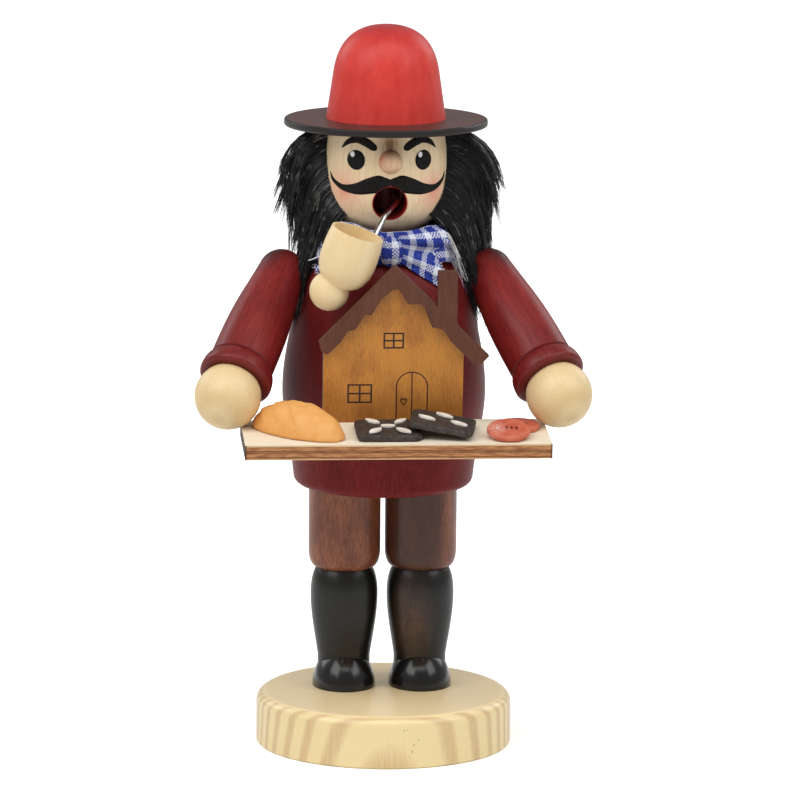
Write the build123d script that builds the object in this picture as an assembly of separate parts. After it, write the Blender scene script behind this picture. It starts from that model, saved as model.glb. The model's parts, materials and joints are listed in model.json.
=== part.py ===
from build123d import *
import os
from math import asin, cos, degrees, hypot, radians, sin, sqrt

# A turned wooden incense smoker: a figure with a vendor's tray and a pipe.
# The figure lifts off its legs, and an incense cone burns on a tin plate inside the coat.
# Millimetres and degrees. +Z is up, the figure faces -Y, and the origin is the centre of the
# base's underside. Left and right are the figure's own, so its left hand is on the +X side.

# Fits
glue_gap = 0.05  # radial room round a dowel, tenon or tube
slip_gap = 0.1  # radial room of the seat disc in the coat
swivel_gap = 0.05  # radial room round the pipe's stem in its hole
soft_gap = 0.3  # hair and cloth stay this far from their neighbours
rest_gap = 0.1  # a curved piece stays this far from what it leans on

# Base and legs
base_radius = 37.1
base_height = 15.0
base_round = 3.0
base_edge_break = 0.5
figure_setback = 8.0  # the figure stands this far behind the base's centre
leg_spacing = 22.3
leg_height = 61.0  # from the base's top to the seat disc
thigh_radius = 10.5
thigh_round = 8.0
knee_radius = 8.2
boot_height = 35.2  # from the base's top to the knee's groove
boot_radius = 9.75
boot_bulge_height = 25.0
ankle_radius = 7.6
ankle_height = 5.0  # the ankle's end face above the base's top
ankle_length = 4.0  # the straight stretch that sits in the shoe
leg_tenon_radius = 3.5
foot_tenon_depth = 8.0
hip_tenon_depth = 3.5
shoe_width = 18.4
shoe_length = 22.0
shoe_height = 11.8
shoe_forward = 1.0

# Seat disc, cone plate and tack
seat_radius = 22.2
seat_thickness = 5.0
air_hole_radius = 2.5
air_hole_offset = 13.5
plate_radius = 9.0
plate_thickness = 0.5
plate_rim_height = 1.6
tack_head_radius = 1.6  # the countersunk head lies flush with the plate
tack_radius = 0.6
tack_length = 3.5

# Coat and neck
hem_drop = 1.0  # the hem hangs this far below the seat disc
hem_radius = 26.2
hem_round = 2.8
belly_radius = 29.5
belly_rise = 26.0  # from the hem
shoulder_round = 17.6
shoulder_centre_radius = 7.0
shoulder_rise = 55.1  # from the hem to the centre of the shoulder's arc
shoulder_start_angle = 12.7
neck_radius = 9.5
neck_height = 2.0
chamber_radius = 17.0
chamber_rise = 53.0  # from the hem to where the smoke chamber narrows
chamber_taper = 12.0
duct_radius = 4.2
tube_radius = 5.5
tube_in_coat = 6.5
tube_in_head = 5.5

# Head, nose and mouth
head_radius = 17.9
head_height = 30.5
head_top_radius = 16.6
chin_flat_radius = 8.4
cheek_rise = 13.9  # from the head's underside to its widest ring
mouth_radius = 4.85
mouth_rise = 10.1
nose_radius = 3.4
nose_rise = 22.1
nose_stand = 0.6  # the bead's centre outside the face
nose_peg_radius = 1.2
nose_peg_length = 4.0

# Hat
brim_radius = 29.4
brim_thickness = 2.1
brim_edge_round = 0.6
crown_radius = 17.3
crown_shoulder_radius = 15.3  # where the straight side ends and the round top begins
crown_shoulder_rise = 13.5
crown_height = 27.1
hat_dowel_radius = 3.0
hat_dowel_in_head = 8.0
hat_dowel_in_crown = 9.0

# Hair
hair_part_angle = 72.0  # from straight ahead to the hair's front edge
hair_top_radius = 26.0
hair_radius = 31.6
hair_wide_drop = 16.5  # from the brim to the hair's widest ring
hair_nape_radius = 27.6
hair_nape_drop = 40.0
hair_length = 49.0
hair_end_thickness = 1.6

# Neckerchief
collar_rise = 5.2  # the rolled collar stands this far above the neck's root
collar_width = 8.5
tail_thickness = 1.6
tail_fold_depth = 1.3
left_tail_span = (-8.0, 46.0)  # degrees round the figure from straight ahead
left_tail_folds = 4
left_tail_outline = ((-3.0, 5.0), (15.0, 5.0), (18.0, -0.7), (13.0, -12.7), (1.0, -5.0))
right_tail_span = (-66.0, -14.0)
right_tail_folds = 3
right_tail_outline = ((-3.5, 5.0), (-14.0, 5.0), (-22.5, -7.0), (-19.0, -10.5), (-6.5, -4.0))
knot_width = 7.0
knot_height = 5.6
knot_depth = 4.6

# Arms and hands
arm_top_radius = 6.8
arm_rise = 7.5  # shoulder ball above the centre of the coat's shoulder arc
arm_forward = 3.0
sleeve_radius = 8.8
wrist_radius = 9.3
cuff_groove = 0.5
cuff_radius = 10.6
cuff_width = 6.5
cuff_round = 1.4
shoulder_dowel_radius = 2.0
shoulder_dowel_in_coat = 5.0
hand_radius = 9.5
hand_stand = 5.5  # the ball's centre outside the cuff's end
hand_outset = 3.9  # the ball's centre outside the tray's end
hand_from_back = 6.2
hand_dowel_radius = 2.0
hand_dowel_length = 10.0

# Tray
tray_width = 86.7
tray_depth = 27.5
tray_thickness = 4.3
tray_tilt = 4.5
tray_rise = 24.1  # the tray's back edge above the hem
tray_dowel_radius = 1.2
tray_dowel_spacing = 18.0
tray_dowel_in_tray = 8.0
tray_dowel_in_coat = 4.5

# House on the tray: the wall plate, and the roof plate glued on its front
wall_thickness = 3.0
wall_width = 40.0
eaves_height = 20.4
wall_peak = 43.5
roof_thickness = 2.5
roof_peak = 46.4
roof_left_end = ((-21.5, 24.2), (-20.7, 21.6), (-19.3, 20.6))
roof_right_end = ((27.1, 19.9), (25.0, 17.7), (22.6, 17.7))
snow_left = ((-18.4, 21.1), (-14.9, 24.7), (-13.4, 27.4), (-11.2, 27.8), (-8.4, 32.3), (-6.6, 32.0),
             (-3.9, 36.7))
snow_right = ((1.0, 39.6), (3.7, 35.2), (8.0, 35.2), (9.1, 32.3), (10.6, 28.5), (13.8, 27.8),
              (16.0, 24.4), (20.0, 20.3))
snow_peak = (-0.6, 39.4)
chimney_left = 12.2
chimney_width = 5.6
chimney_top = 44.6
engraving_width = 0.5
door_line_width = 0.35
engraving_depth = 0.25
gable_window = (0.0, 24.0, 5.9, 4.7)  # centre across, centre up, width, height
ground_window = (-9.5, 8.5, 7.1, 5.6)
door_centre = 5.4
door_width = 9.2
door_spring = 9.8
door_top = 14.9

# Goods on the tray. Forward places run from the tray's back edge.
goods_gap = 0.6  # least room between neighbouring goods
loaf_length = 32.0
loaf_width = 15.6
loaf_height = 9.2
loaf_sink = 1.9  # what the loaf's flat underside cuts off its swell
loaf_turn = -40.0
loaf_from_end = 15.75  # from the tray's right-hand end
loaf_forward = 13.8
loaf_cuts = 4
loaf_cut_spacing = 5.6
loaf_cut_radius = 1.1
loaf_cut_depth = 0.7
loaf_cut_turn = 62.0
biscuit_side = 18.4
biscuit_thickness = 2.0
biscuit_corner = 2.2
flat_biscuit_across = -2.3  # from the middle of the tray
flat_biscuit_forward = 15.6
leaning_biscuit_overlap = 3.0
leaning_biscuit_forward = 15.2
leaning_biscuit_turn = -9.0
leaning_biscuit_tip = 2.5  # its back edge lies lower than its front edge
almond_length = 5.0
almond_width = 2.0
almond_thickness = 0.7
almond_ring = 4.6  # from the middle of the biscuit to the middle of an almond
almond_slant = -35.0
sausage_radius = 6.2
sausage_thickness = 1.7
back_slice_from_end = 8.2  # from the tray's left-hand end
back_slice_forward = 10.7
front_slice_shift = (-3.6, 9.4)

# Pipe
stem_radius = 0.8
stem_offset = 2.5  # the stem's hole beside the middle of the mouth
stem_depth = 4.0  # into the wood behind the duct
stem_bend_forward = 13.0  # the stem's first bend, in the mouth, in front of the figure's axis
stem_second_bend = (-1.7, 19.5, -3.2)  # across, forward of the axis, above the mouth
stem_bend_radius = 4.0
stem_entry_drop = 4.5  # where the stem meets the bowl, below its rim
stem_entry_turn = 45.0  # round the bowl, from its back towards the figure's left
bowl_rim_place = (-10.4, 33.0, -6.0)  # across, forward of the axis, above the mouth
bowl_lean_side = 18.0
bowl_lean_forward = 7.0
bowl_rim_radius = 7.6
bowl_radius = 8.15
bowl_swell_drop = 5.5
bowl_length = 16.6
bowl_foot_radius = 3.0
bowl_wall = 0.75
bowl_depth = 10.5
pipe_ball_radius = 5.7
pipe_ball_drop = 18.7
pipe_ball_side = -2.1

# Heights and places worked out from the sizes above
axis_y = figure_setback
hip_z = base_height + leg_height
seat_top = hip_z + seat_thickness
hem_z = hip_z - hem_drop
shoulder_z = hem_z + shoulder_rise
neck_root_z = shoulder_z + sqrt(shoulder_round**2 - (neck_radius - shoulder_centre_radius) ** 2)
coat_top = neck_root_z + neck_height
mouth_z = coat_top + mouth_rise
head_top = coat_top + head_height
brim_top = head_top + brim_thickness
coat_bore_radius = seat_radius + slip_gap
tube_bore_radius = tube_radius + glue_gap
duct_top = mouth_z + mouth_radius
stem_z = mouth_z

loaf_place = (loaf_from_end - tray_width / 2, loaf_forward)
back_slice_place = (tray_width / 2 - back_slice_from_end, back_slice_forward)
tray_back = belly_radius + soft_gap
tray_frame = Location((0, axis_y - tray_back, hem_z + tray_rise), (tray_tilt, 0, 0))


def face_of(*edges):
    """The face inside a closed run of edges."""
    return make_face(edges)


def turn(*edges):
    """Turn a half outline, drawn as radius against height, about the Z axis."""
    return revolve(Plane.XZ * face_of(*edges), Axis.Z)


def on_axis(shape):
    """Move a piece that was turned about Z to the figure's axis."""
    return Pos(0, axis_y, 0) * shape


def rod(start, end, radius):
    """A round rod from one point to another."""
    run = Vector(*end) - Vector(*start)
    return Plane(origin=start, z_dir=run) * extrude(Circle(radius), run.length)


def shoulder_height(radius, gap=0.0):
    """Height of the coat's shoulder at a radius, or of a surface that gap above it."""
    return shoulder_z + sqrt((shoulder_round + gap) ** 2 - (radius - shoulder_centre_radius) ** 2)


def shoulder_reach(height, gap=0.0):
    """Radius of the coat's shoulder at a height, or of a surface that gap outside it."""
    return shoulder_centre_radius + sqrt((shoulder_round + gap) ** 2 - (height - shoulder_z) ** 2)


# Base, legs and shoes


def base_disc():
    disc = extrude(Circle(base_radius), base_height)
    disc = fillet(disc.edges().sort_by(Axis.Z)[-1], base_round)
    disc = chamfer(disc.edges().sort_by(Axis.Z)[0], base_edge_break)
    for x in leg_places():
        disc -= rod((x, axis_y, base_height - foot_tenon_depth), (x, axis_y, base_height),
                    leg_tenon_radius + glue_gap)
    return disc


def leg_places():
    return (-leg_spacing / 2, leg_spacing / 2)


def leg(x):
    """Boot and trouser leg turned in one piece, with a tenon at each end."""
    tenon_foot = base_height - foot_tenon_depth
    ankle_z = base_height + ankle_height
    knee_z = base_height + boot_height
    tenon_top = hip_z + hip_tenon_depth
    outline = [
        Polyline((0, tenon_foot), (leg_tenon_radius, tenon_foot), (leg_tenon_radius, ankle_z),
                 (ankle_radius, ankle_z), (ankle_radius, ankle_z + ankle_length)),
        Spline((ankle_radius, ankle_z + ankle_length), (boot_radius, base_height + boot_bulge_height),
               (knee_radius, knee_z), tangents=((0.15, 1), (-0.6, 1))),
        Spline((knee_radius, knee_z), (thigh_radius, knee_z + thigh_round),
               tangents=((1, 0.4), (0, 1))),
        Polyline((thigh_radius, knee_z + thigh_round), (thigh_radius, hip_z),
                 (leg_tenon_radius, hip_z), (leg_tenon_radius, tenon_top), (0, tenon_top),
                 (0, tenon_foot)),
    ]
    return Pos(x, axis_y, 0) * turn(*outline)


def shoe(x):
    """Half an egg, bored for the leg's ankle and tenon."""
    egg = scale(Sphere(1), by=(shoe_width / 2, shoe_length / 2, shoe_height))
    egg = split(egg, Plane.XY, keep=Keep.TOP)
    egg = Pos(x, axis_y - shoe_forward, base_height) * egg
    egg -= rod((x, axis_y, base_height), (x, axis_y, base_height + shoe_height),
               leg_tenon_radius + glue_gap)
    ankle_z = base_height + ankle_height
    return egg - rod((x, axis_y, ankle_z), (x, axis_y, ankle_z + shoe_height), ankle_radius + glue_gap)


# Seat disc with the plate for the incense cone


def seat_disc():
    disc = Pos(0, axis_y, hip_z) * extrude(Circle(seat_radius), seat_thickness)
    for x in leg_places():
        disc -= rod((x, axis_y, hip_z), (x, axis_y, hip_z + hip_tenon_depth), leg_tenon_radius + glue_gap)
    for y in (axis_y - air_hole_offset, axis_y + air_hole_offset):
        disc -= rod((0, y, hip_z), (0, y, seat_top), air_hole_radius)
    return disc - tack_blank(glue_gap)


def cone_plate():
    """A tin dish with a flared rim, on which the incense cone stands."""
    rim_z = seat_top + plate_rim_height
    rim_radius = plate_radius + plate_rim_height
    floor_z = seat_top + plate_thickness
    dish = on_axis(turn(Polyline(
        (0, seat_top), (plate_radius, seat_top), (rim_radius, rim_z), (rim_radius - plate_thickness, rim_z),
        (plate_radius - plate_thickness / 2, floor_z), (0, floor_z), close=True)))
    return dish - tack_blank(glue_gap)


def tack_blank(room):
    """The tack that holds the plate, or its hole with some room: a point, a shank and a flush cone head."""
    floor_z = seat_top + plate_thickness
    foot_z = seat_top - tack_length - room
    shank = tack_radius + room
    head = tack_head_radius + room
    return on_axis(turn(Polyline((0, foot_z), (shank, foot_z + shank), (shank, floor_z - head + shank),
                                 (head, floor_z), (0, floor_z), close=True)))


# Coat, neck tube and head


def shoulder_ball_centre():
    """Centre of the left arm's round top, which rests against the coat's shoulder."""
    reach = shoulder_round + arm_top_radius + rest_gap
    radius = shoulder_centre_radius + sqrt(reach**2 - arm_rise**2)
    return Vector(sqrt(radius**2 - arm_forward**2), axis_y - arm_forward, shoulder_z + arm_rise)


def shoulder_dowel(radius, side):
    """Dowel from the middle of the arm's round top, square through the place where it meets the coat."""
    ball = shoulder_ball_centre()
    share = shoulder_centre_radius / hypot(ball.X, ball.Y - axis_y)
    arc_centre = Vector(ball.X * share, axis_y + (ball.Y - axis_y) * share, shoulder_z)
    length = arm_top_radius + rest_gap + shoulder_dowel_in_coat
    end = ball + (arc_centre - ball).normalized() * length
    return rod((side * end.X, end.Y, end.Z), (side * ball.X, ball.Y, ball.Z), radius)


def tray_dowel(radius, side):
    """Dowel from the tray's back edge into the coat."""
    x = side * tray_dowel_spacing / 2
    sag = belly_radius - sqrt(belly_radius**2 - x**2)
    middle = -tray_thickness / 2
    return tray_frame * rod((x, -tray_dowel_in_tray, middle), (x, sag + tray_dowel_in_coat, middle), radius)


def coat():
    start = radians(shoulder_start_angle)
    shoulder_start = (shoulder_centre_radius + shoulder_round * cos(start),
                      shoulder_z + shoulder_round * sin(start))
    neck_root = (neck_radius, neck_root_z)
    tube_seat = coat_top - tube_in_coat
    chamber_top = hem_z + chamber_rise
    outline = [
        Line((coat_bore_radius, hem_z), (hem_radius - hem_round, hem_z)),
        TangentArc((hem_radius - hem_round, hem_z), (hem_radius, hem_z + hem_round), tangent=(1, 0)),
        Spline((hem_radius, hem_z + hem_round), (belly_radius, hem_z + belly_rise), shoulder_start,
               tangents=((0.1, 1), (-sin(start), cos(start)))),
        TangentArc(shoulder_start, neck_root, tangent=(-sin(start), cos(start))),
        Polyline(neck_root, (neck_radius, coat_top), (tube_bore_radius, coat_top),
                 (tube_bore_radius, tube_seat), (duct_radius, tube_seat),
                 (duct_radius, chamber_top + chamber_taper), (chamber_radius, chamber_top),
                 (chamber_radius, seat_top), (coat_bore_radius, seat_top), (coat_bore_radius, hem_z)),
    ]
    body = on_axis(turn(*outline))
    for side in (-1, 1):
        body -= shoulder_dowel(shoulder_dowel_radius + glue_gap, side)
        body -= tray_dowel(tray_dowel_radius + glue_gap, side)
    return body


def neck_tube():
    bottom = coat_top - tube_in_coat
    top = coat_top + tube_in_head
    return on_axis(turn(Polyline((duct_radius, bottom), (tube_radius, bottom), (tube_radius, top),
                                 (duct_radius, top), close=True)))


def chin_tangent():
    """Direction of the jaw's curve where it leaves the flat under the chin."""
    flat = chin_flat_radius / head_radius
    jaw_height = cheek_rise / sqrt(1 - flat**2)
    return (head_radius * sqrt(1 - flat**2), jaw_height * flat)


def head_blank(room=0.0):
    """The head's outer shape, grown by some room for what must stay clear of it."""
    chin = (chin_flat_radius + room, coat_top - room)
    cheek = (head_radius + room, coat_top + cheek_rise)
    crown = (head_top_radius + room, head_top)
    return on_axis(turn(
        Line((0, coat_top - room), chin),
        Spline(chin, cheek, tangents=(chin_tangent(), (0, 1))),
        Spline(cheek, crown, tangents=((0, 1), (-0.25, 1))),
        Polyline(crown, (0, head_top), (0, coat_top - room))))


def shoulder_blank(room):
    """The coat's shoulder and neck, grown by some room for the cloth that lies on them."""
    side = shoulder_centre_radius + shoulder_round + room
    root = (neck_radius + room, shoulder_height(neck_radius + room, room))
    return on_axis(turn(
        Polyline((0, hem_z), (side, hem_z), (side, shoulder_z)),
        TangentArc((side, shoulder_z), root, tangent=(0, 1)),
        Polyline(root, (neck_radius + room, coat_top), (0, coat_top), (0, hem_z))))


def nose_centre():
    """The nose bead stands on the face, whose radius hardly changes at that height."""
    rise = (nose_rise - cheek_rise) / (head_height - cheek_rise)
    face = head_radius - (head_radius - head_top_radius) * rise**2
    return Vector(0, axis_y - face - nose_stand, coat_top + nose_rise)


def nose_peg(radius):
    centre = nose_centre()
    inner_y = centre.Y + nose_radius + nose_peg_length
    return rod((0, centre.Y, centre.Z), (0, inner_y, centre.Z), radius)


def head():
    duct = on_axis(turn(Polyline(
        (0, coat_top), (tube_bore_radius, coat_top), (tube_bore_radius, coat_top + tube_in_head),
        (duct_radius, coat_top + tube_in_head), (duct_radius, duct_top), (0, duct_top), close=True)))
    mouth = rod((0, axis_y, mouth_z), (0, axis_y - head_radius, mouth_z), mouth_radius)
    stem_hole = rod((stem_offset, axis_y, stem_z), (stem_offset, stem_back_y() + rest_gap, stem_z),
                    stem_radius + swivel_gap)
    hat_hole = rod((0, axis_y, head_top - hat_dowel_in_head), (0, axis_y, head_top),
                   hat_dowel_radius + glue_gap)
    return head_blank() - duct - mouth - stem_hole - hat_hole - nose_peg(nose_peg_radius + glue_gap)


def nose():
    centre = nose_centre()
    bead = Pos(centre) * Sphere(nose_radius) - head_blank()
    return bead + nose_peg(nose_peg_radius)


# Hat


def hat_brim():
    disc = Pos(0, axis_y, head_top) * extrude(Circle(brim_radius), brim_thickness)
    disc = fillet(disc.edges(), brim_edge_round)
    return disc - rod((0, axis_y, head_top), (0, axis_y, brim_top), hat_dowel_radius + glue_gap)


def hat_crown():
    top = brim_top + crown_height
    shoulder = (crown_shoulder_radius, brim_top + crown_shoulder_rise)
    hole_radius = hat_dowel_radius + glue_gap
    hole_top = brim_top + hat_dowel_in_crown
    return on_axis(turn(
        Polyline((hole_radius, brim_top), (crown_radius, brim_top), shoulder),
        Spline(shoulder, (0, top), tangents=((crown_shoulder_radius - crown_radius, crown_shoulder_rise),
                                             (-1, 0))),
        Polyline((0, top), (0, hole_top), (hole_radius, hole_top), (hole_radius, brim_top))))


def hat_dowel():
    return rod((0, axis_y, head_top - hat_dowel_in_head), (0, axis_y, brim_top + hat_dowel_in_crown),
               hat_dowel_radius)


# Hair and neckerchief


def hair():
    """One closed mass round the sides and back of the head, parted in front and cut round the arms."""
    top = head_top - soft_gap
    inner = head_radius + soft_gap
    ring_z = head_top - hair_wide_drop
    nape_z = head_top - hair_nape_drop
    end_z = head_top - hair_length
    jaw_z = coat_top + cheek_rise / 2
    collar_edge = neck_radius + collar_width + 4 * soft_gap
    end_inner = shoulder_reach(end_z, 2 * soft_gap)
    mass = face_of(
        Polyline((hair_top_radius, top), (inner, top), (inner, jaw_z), (collar_edge, jaw_z),
                 (collar_edge, shoulder_height(collar_edge, soft_gap))),
        TangentArc((end_inner, end_z), (collar_edge, shoulder_height(collar_edge, soft_gap)),
                   tangent=(0, 1)),
        Line((end_inner, end_z), (end_inner + hair_end_thickness, end_z)),
        Spline((end_inner + hair_end_thickness, end_z), (hair_nape_radius, nape_z),
               (hair_radius, ring_z), (hair_top_radius, top), tangents=((0, 1), (-1, 1))))
    sweep_angle = 360 - 2 * hair_part_angle
    shell = revolve(Plane.XZ * mass, Axis.Z, revolution_arc=sweep_angle)
    shell = on_axis(Rot(0, 0, hair_part_angle - 90) * shell)
    ball = shoulder_ball_centre()
    room = arm_top_radius + 2 * soft_gap
    notch_depth = hair_radius + room
    for side in (-1, 1):
        notch = Box(2 * (ball.X - neck_radius), notch_depth, hair_length,
                    align=(Align.CENTER, Align.MAX, Align.MAX))
        shell -= Pos(side * ball.X, ball.Y + room, ball.Z + room) * notch
    return shell


def tail_section(height, span, folds):
    """A strip of pleated cloth across the coat's shoulder at one height."""
    inside = shoulder_reach(height)
    valley = inside + tail_thickness
    ridge = valley + tail_fold_depth
    start, end = span

    def spot(radius, angle):
        return (radius * sin(radians(angle)), -radius * cos(radians(angle)))

    pleat = (end - start) / folds
    edges = []
    for number in range(folds):
        first = start + number * pleat
        edges.append(ThreePointArc(spot(valley, first), spot(ridge, first + pleat / 2),
                                   spot(valley, first + pleat)))
    edges.append(Line(spot(valley, end), spot(inside, end)))
    edges.append(ThreePointArc(spot(inside, end), spot(inside, (start + end) / 2), spot(inside, start)))
    edges.append(Line(spot(inside, start), spot(valley, start)))
    return Pos(0, axis_y, height) * face_of(*edges)


def scarf_tail(span, folds, outline):
    """A pleated end of the neckerchief, cut to its outline as seen from the front."""
    top = neck_root_z - soft_gap
    bottom = neck_root_z + min(up for across, up in outline)
    middle = (2 * top + bottom) / 3
    sections = [tail_section(height, span, folds) for height in (bottom, middle, top)]
    cloth = loft(sections, ruled=True)
    corners = [(across, neck_root_z + up) for across, up in outline]
    cutter = extrude(Plane.XZ * face_of(Polyline(*corners, close=True)), 2 * belly_radius)
    return cloth & cutter


def neckerchief():
    """A rolled collar on the shoulders, with two pleated ends and a knot under the chin."""
    inner = neck_radius + soft_gap
    outer = neck_radius + collar_width
    crest = neck_root_z + collar_rise
    under = shoulder_height(outer)
    collar = on_axis(turn(
        Line((inner, under), (outer, under)),
        Spline((outer, under), (outer - collar_width / 5, crest), (inner, neck_root_z),
               tangents=((0.2, 1), (-0.5, -1))),
        Line((inner, neck_root_z), (inner, under))))
    knot_y = axis_y - shoulder_reach(neck_root_z - 2 * soft_gap, soft_gap) - knot_depth
    knot = scale(Sphere(1), by=(knot_width / 2, knot_depth, knot_height / 2))
    knot = Pos(0, knot_y, neck_root_z) * knot
    cloth = (collar + scarf_tail(left_tail_span, left_tail_folds, left_tail_outline)
             + scarf_tail(right_tail_span, right_tail_folds, right_tail_outline) + knot)
    return cloth - head_blank(soft_gap) - shoulder_blank(soft_gap)


# Arms and hands


def hand_centre():
    """The left hand rests on the upper edge of the tray's end."""
    rise = sqrt((hand_radius + rest_gap) ** 2 - hand_outset**2)
    return (tray_frame * Pos(tray_width / 2 + hand_outset, -hand_from_back, rise)).position


def arm_frame():
    """Frame of the left arm: its origin in the shoulder ball, its Z towards the hand."""
    ball = shoulder_ball_centre()
    return Plane(origin=ball, z_dir=hand_centre() - ball)


def arm_length():
    return (hand_centre() - shoulder_ball_centre()).length - hand_stand


def hand_dowel(radius):
    """Dowel from the cuff to half way into the ball of the hand."""
    start = arm_length() + hand_stand - hand_radius / 2 - hand_dowel_length
    return arm_frame() * (Pos(0, 0, start) * extrude(Circle(radius), hand_dowel_length))


def left_arm():
    end = arm_length()
    cuff = end - cuff_width
    outline = [
        Line((0, end), (0, -arm_top_radius)),
        TangentArc((0, -arm_top_radius), (arm_top_radius, 0), tangent=(1, 0)),
        Spline((arm_top_radius, 0), (sleeve_radius, cuff / 2), (wrist_radius, cuff),
               tangents=((0.1, 1), (0, 1))),
        Polyline((wrist_radius, cuff), (wrist_radius - cuff_groove, cuff + cuff_groove)),
        Spline((wrist_radius - cuff_groove, cuff + cuff_groove), (cuff_radius, end - cuff_round),
               tangents=((1, 0.5), (0, 1))),
        TangentArc((cuff_radius, end - cuff_round), (cuff_radius - cuff_round, end), tangent=(0, 1)),
        Line((cuff_radius - cuff_round, end), (0, end)),
    ]
    arm = arm_frame() * turn(*outline)
    socket = Pos(hand_centre()) * Sphere(hand_radius + glue_gap)
    return arm - socket - shoulder_dowel(shoulder_dowel_radius + glue_gap, 1) - hand_dowel(
        hand_dowel_radius + glue_gap)


def left_hand():
    return Pos(hand_centre()) * Sphere(hand_radius) - hand_dowel(hand_dowel_radius + glue_gap)


def other_side(shape):
    return mirror(shape, about=Plane.YZ)


def both_sides(shape):
    """A left-hand piece and its mirror image, as two solids in one node."""
    return Compound(children=[shape, other_side(shape)])


# Tray and house


def tray():
    board = extrude(Rectangle(tray_width, tray_depth), tray_thickness)
    board = tray_frame * Pos(0, -tray_depth / 2, -tray_thickness) * board
    for side in (-1, 1):
        board -= tray_dowel(tray_dowel_radius + glue_gap, side)
    return board


def upright(face, thickness, forward):
    """A plate that stands on the tray, with its back this far forward of the tray's back edge."""
    return tray_frame * (Pos(0, -forward, 0) * extrude(Plane.XZ * face, thickness))


def window_lines(across, up, width, height):
    frame = offset(Rectangle(width, height), -engraving_width, kind=Kind.INTERSECTION)
    frame = Rectangle(width, height) - frame
    bars = Rectangle(engraving_width, height) + Rectangle(width, engraving_width)
    return Pos(across, up) * (frame + bars)


def door_outline(inset):
    half = door_width / 2 - inset
    return face_of(
        ThreePointArc((door_centre - half, door_spring), (door_centre, door_top - inset),
                      (door_centre + half, door_spring)),
        Polyline((door_centre + half, door_spring), (door_centre + half, 0),
                 (door_centre - half, 0), (door_centre - half, door_spring)))


def door_lines():
    gap = Pos(door_centre, door_top / 2) * Rectangle(door_line_width, door_top)
    return door_outline(0) - door_outline(door_line_width) + (gap & door_outline(0))


def house_wall():
    half = wall_width / 2
    gable = face_of(Polyline((-half, 0), (half, 0), (half, eaves_height), (0, wall_peak),
                             (-half, eaves_height), close=True))
    wall = upright(gable, wall_thickness, 0)
    for lines in (window_lines(*gable_window), window_lines(*ground_window), door_lines()):
        wall -= upright(lines, engraving_depth, wall_thickness - engraving_depth)
    return wall


def roof_slope(across):
    """Height of the roof's right-hand slope."""
    tip_across, tip_up = roof_right_end[0]
    return roof_peak + (tip_up - roof_peak) * across / tip_across


def house_roof():
    """One plate: both slopes with a ragged edge of snow below, and the chimney."""
    chimney_right = chimney_left + chimney_width
    outline = [
        (0, roof_peak), (chimney_left, roof_slope(chimney_left)), (chimney_left, chimney_top),
        (chimney_right, chimney_top), (chimney_right, roof_slope(chimney_right)), *roof_right_end,
        *reversed(snow_right), snow_peak, *reversed(snow_left), *reversed(roof_left_end)]
    return upright(face_of(Polyline(*outline, close=True)), roof_thickness, wall_thickness)


# Goods on the tray


def on_tray(place, turn_angle=0.0, tilt_side=0.0, tilt_front=0.0, rise=0.0):
    """Frame on the tray's top: across and forward, turned about the tray's normal, then tilted."""
    across, forward = place
    spot = tray_frame * Pos(across, -forward, rise)
    return spot * Rot(0, 0, turn_angle) * Rot(tilt_front, tilt_side, 0)


def bread_loaf():
    """A flattened egg on its cut underside, with slanting scores across the crust."""
    swell = loaf_height + loaf_sink
    loaf = scale(Sphere(1), by=(loaf_length / 2, loaf_width / 2, swell))
    loaf = split(Pos(0, 0, -loaf_sink) * loaf, Plane.XY, keep=Keep.TOP)
    middle = (loaf_cuts - 1) / 2
    score = Rot(0, 0, loaf_cut_turn) * Rot(0, 90, 0) * Cylinder(loaf_cut_radius, loaf_width)
    for number in range(loaf_cuts):
        x = (number - middle) * loaf_cut_spacing
        crest = swell * sqrt(1 - (2 * x / loaf_length) ** 2) - loaf_sink
        loaf -= Pos(x, 0, crest + loaf_cut_radius - loaf_cut_depth) * score
    return on_tray(loaf_place, loaf_turn) * loaf


def biscuit():
    slab = extrude(RectangleRounded(biscuit_side, biscuit_side, biscuit_corner), biscuit_thickness)
    return fillet(slab.faces().sort_by(Axis.Z)[-1].edges(), biscuit_thickness / 4)


def flat_biscuit_place():
    """The flat square lies near the middle of the tray, clear of the loaf."""
    turned = radians(loaf_turn)
    loaf_end = loaf_place[0] + hypot(loaf_length * cos(turned), loaf_width * sin(turned)) / 2
    across = max(flat_biscuit_across, loaf_end + goods_gap + biscuit_side / 2)
    return (across, flat_biscuit_forward)


def flat_biscuit_frame():
    return on_tray(flat_biscuit_place())


def leaning_biscuit_frame():
    """The second square lies with one edge on the first and the opposite edge on the tray.

    It lies further up the first where the slices leave less room.
    """
    corner = abs(sin(radians(leaning_biscuit_turn))) * biscuit_side / 2
    near_edge = flat_biscuit_place()[0] + biscuit_side / 2
    slices_edge = back_slice_place[0] + front_slice_shift[0] - sausage_radius
    far_edge = min(near_edge + biscuit_side - leaning_biscuit_overlap, slices_edge - goods_gap - corner)
    lean = asin((biscuit_thickness + rest_gap) / (far_edge - near_edge - corner))
    tip = leaning_biscuit_tip
    rise = (sin(lean) + sin(radians(tip))) * biscuit_side / 2 + rest_gap
    centre = (far_edge - biscuit_side / 2, leaning_biscuit_forward)
    return on_tray(centre, leaning_biscuit_turn, degrees(lean), -tip, rise)


def almond():
    half = almond_length / 2
    leaf = face_of(ThreePointArc((-half, 0), (0, almond_width / 2), (half, 0)),
                   ThreePointArc((half, 0), (0, -almond_width / 2), (-half, 0)))
    return Pos(0, 0, biscuit_thickness) * extrude(leaf, almond_thickness)


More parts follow.
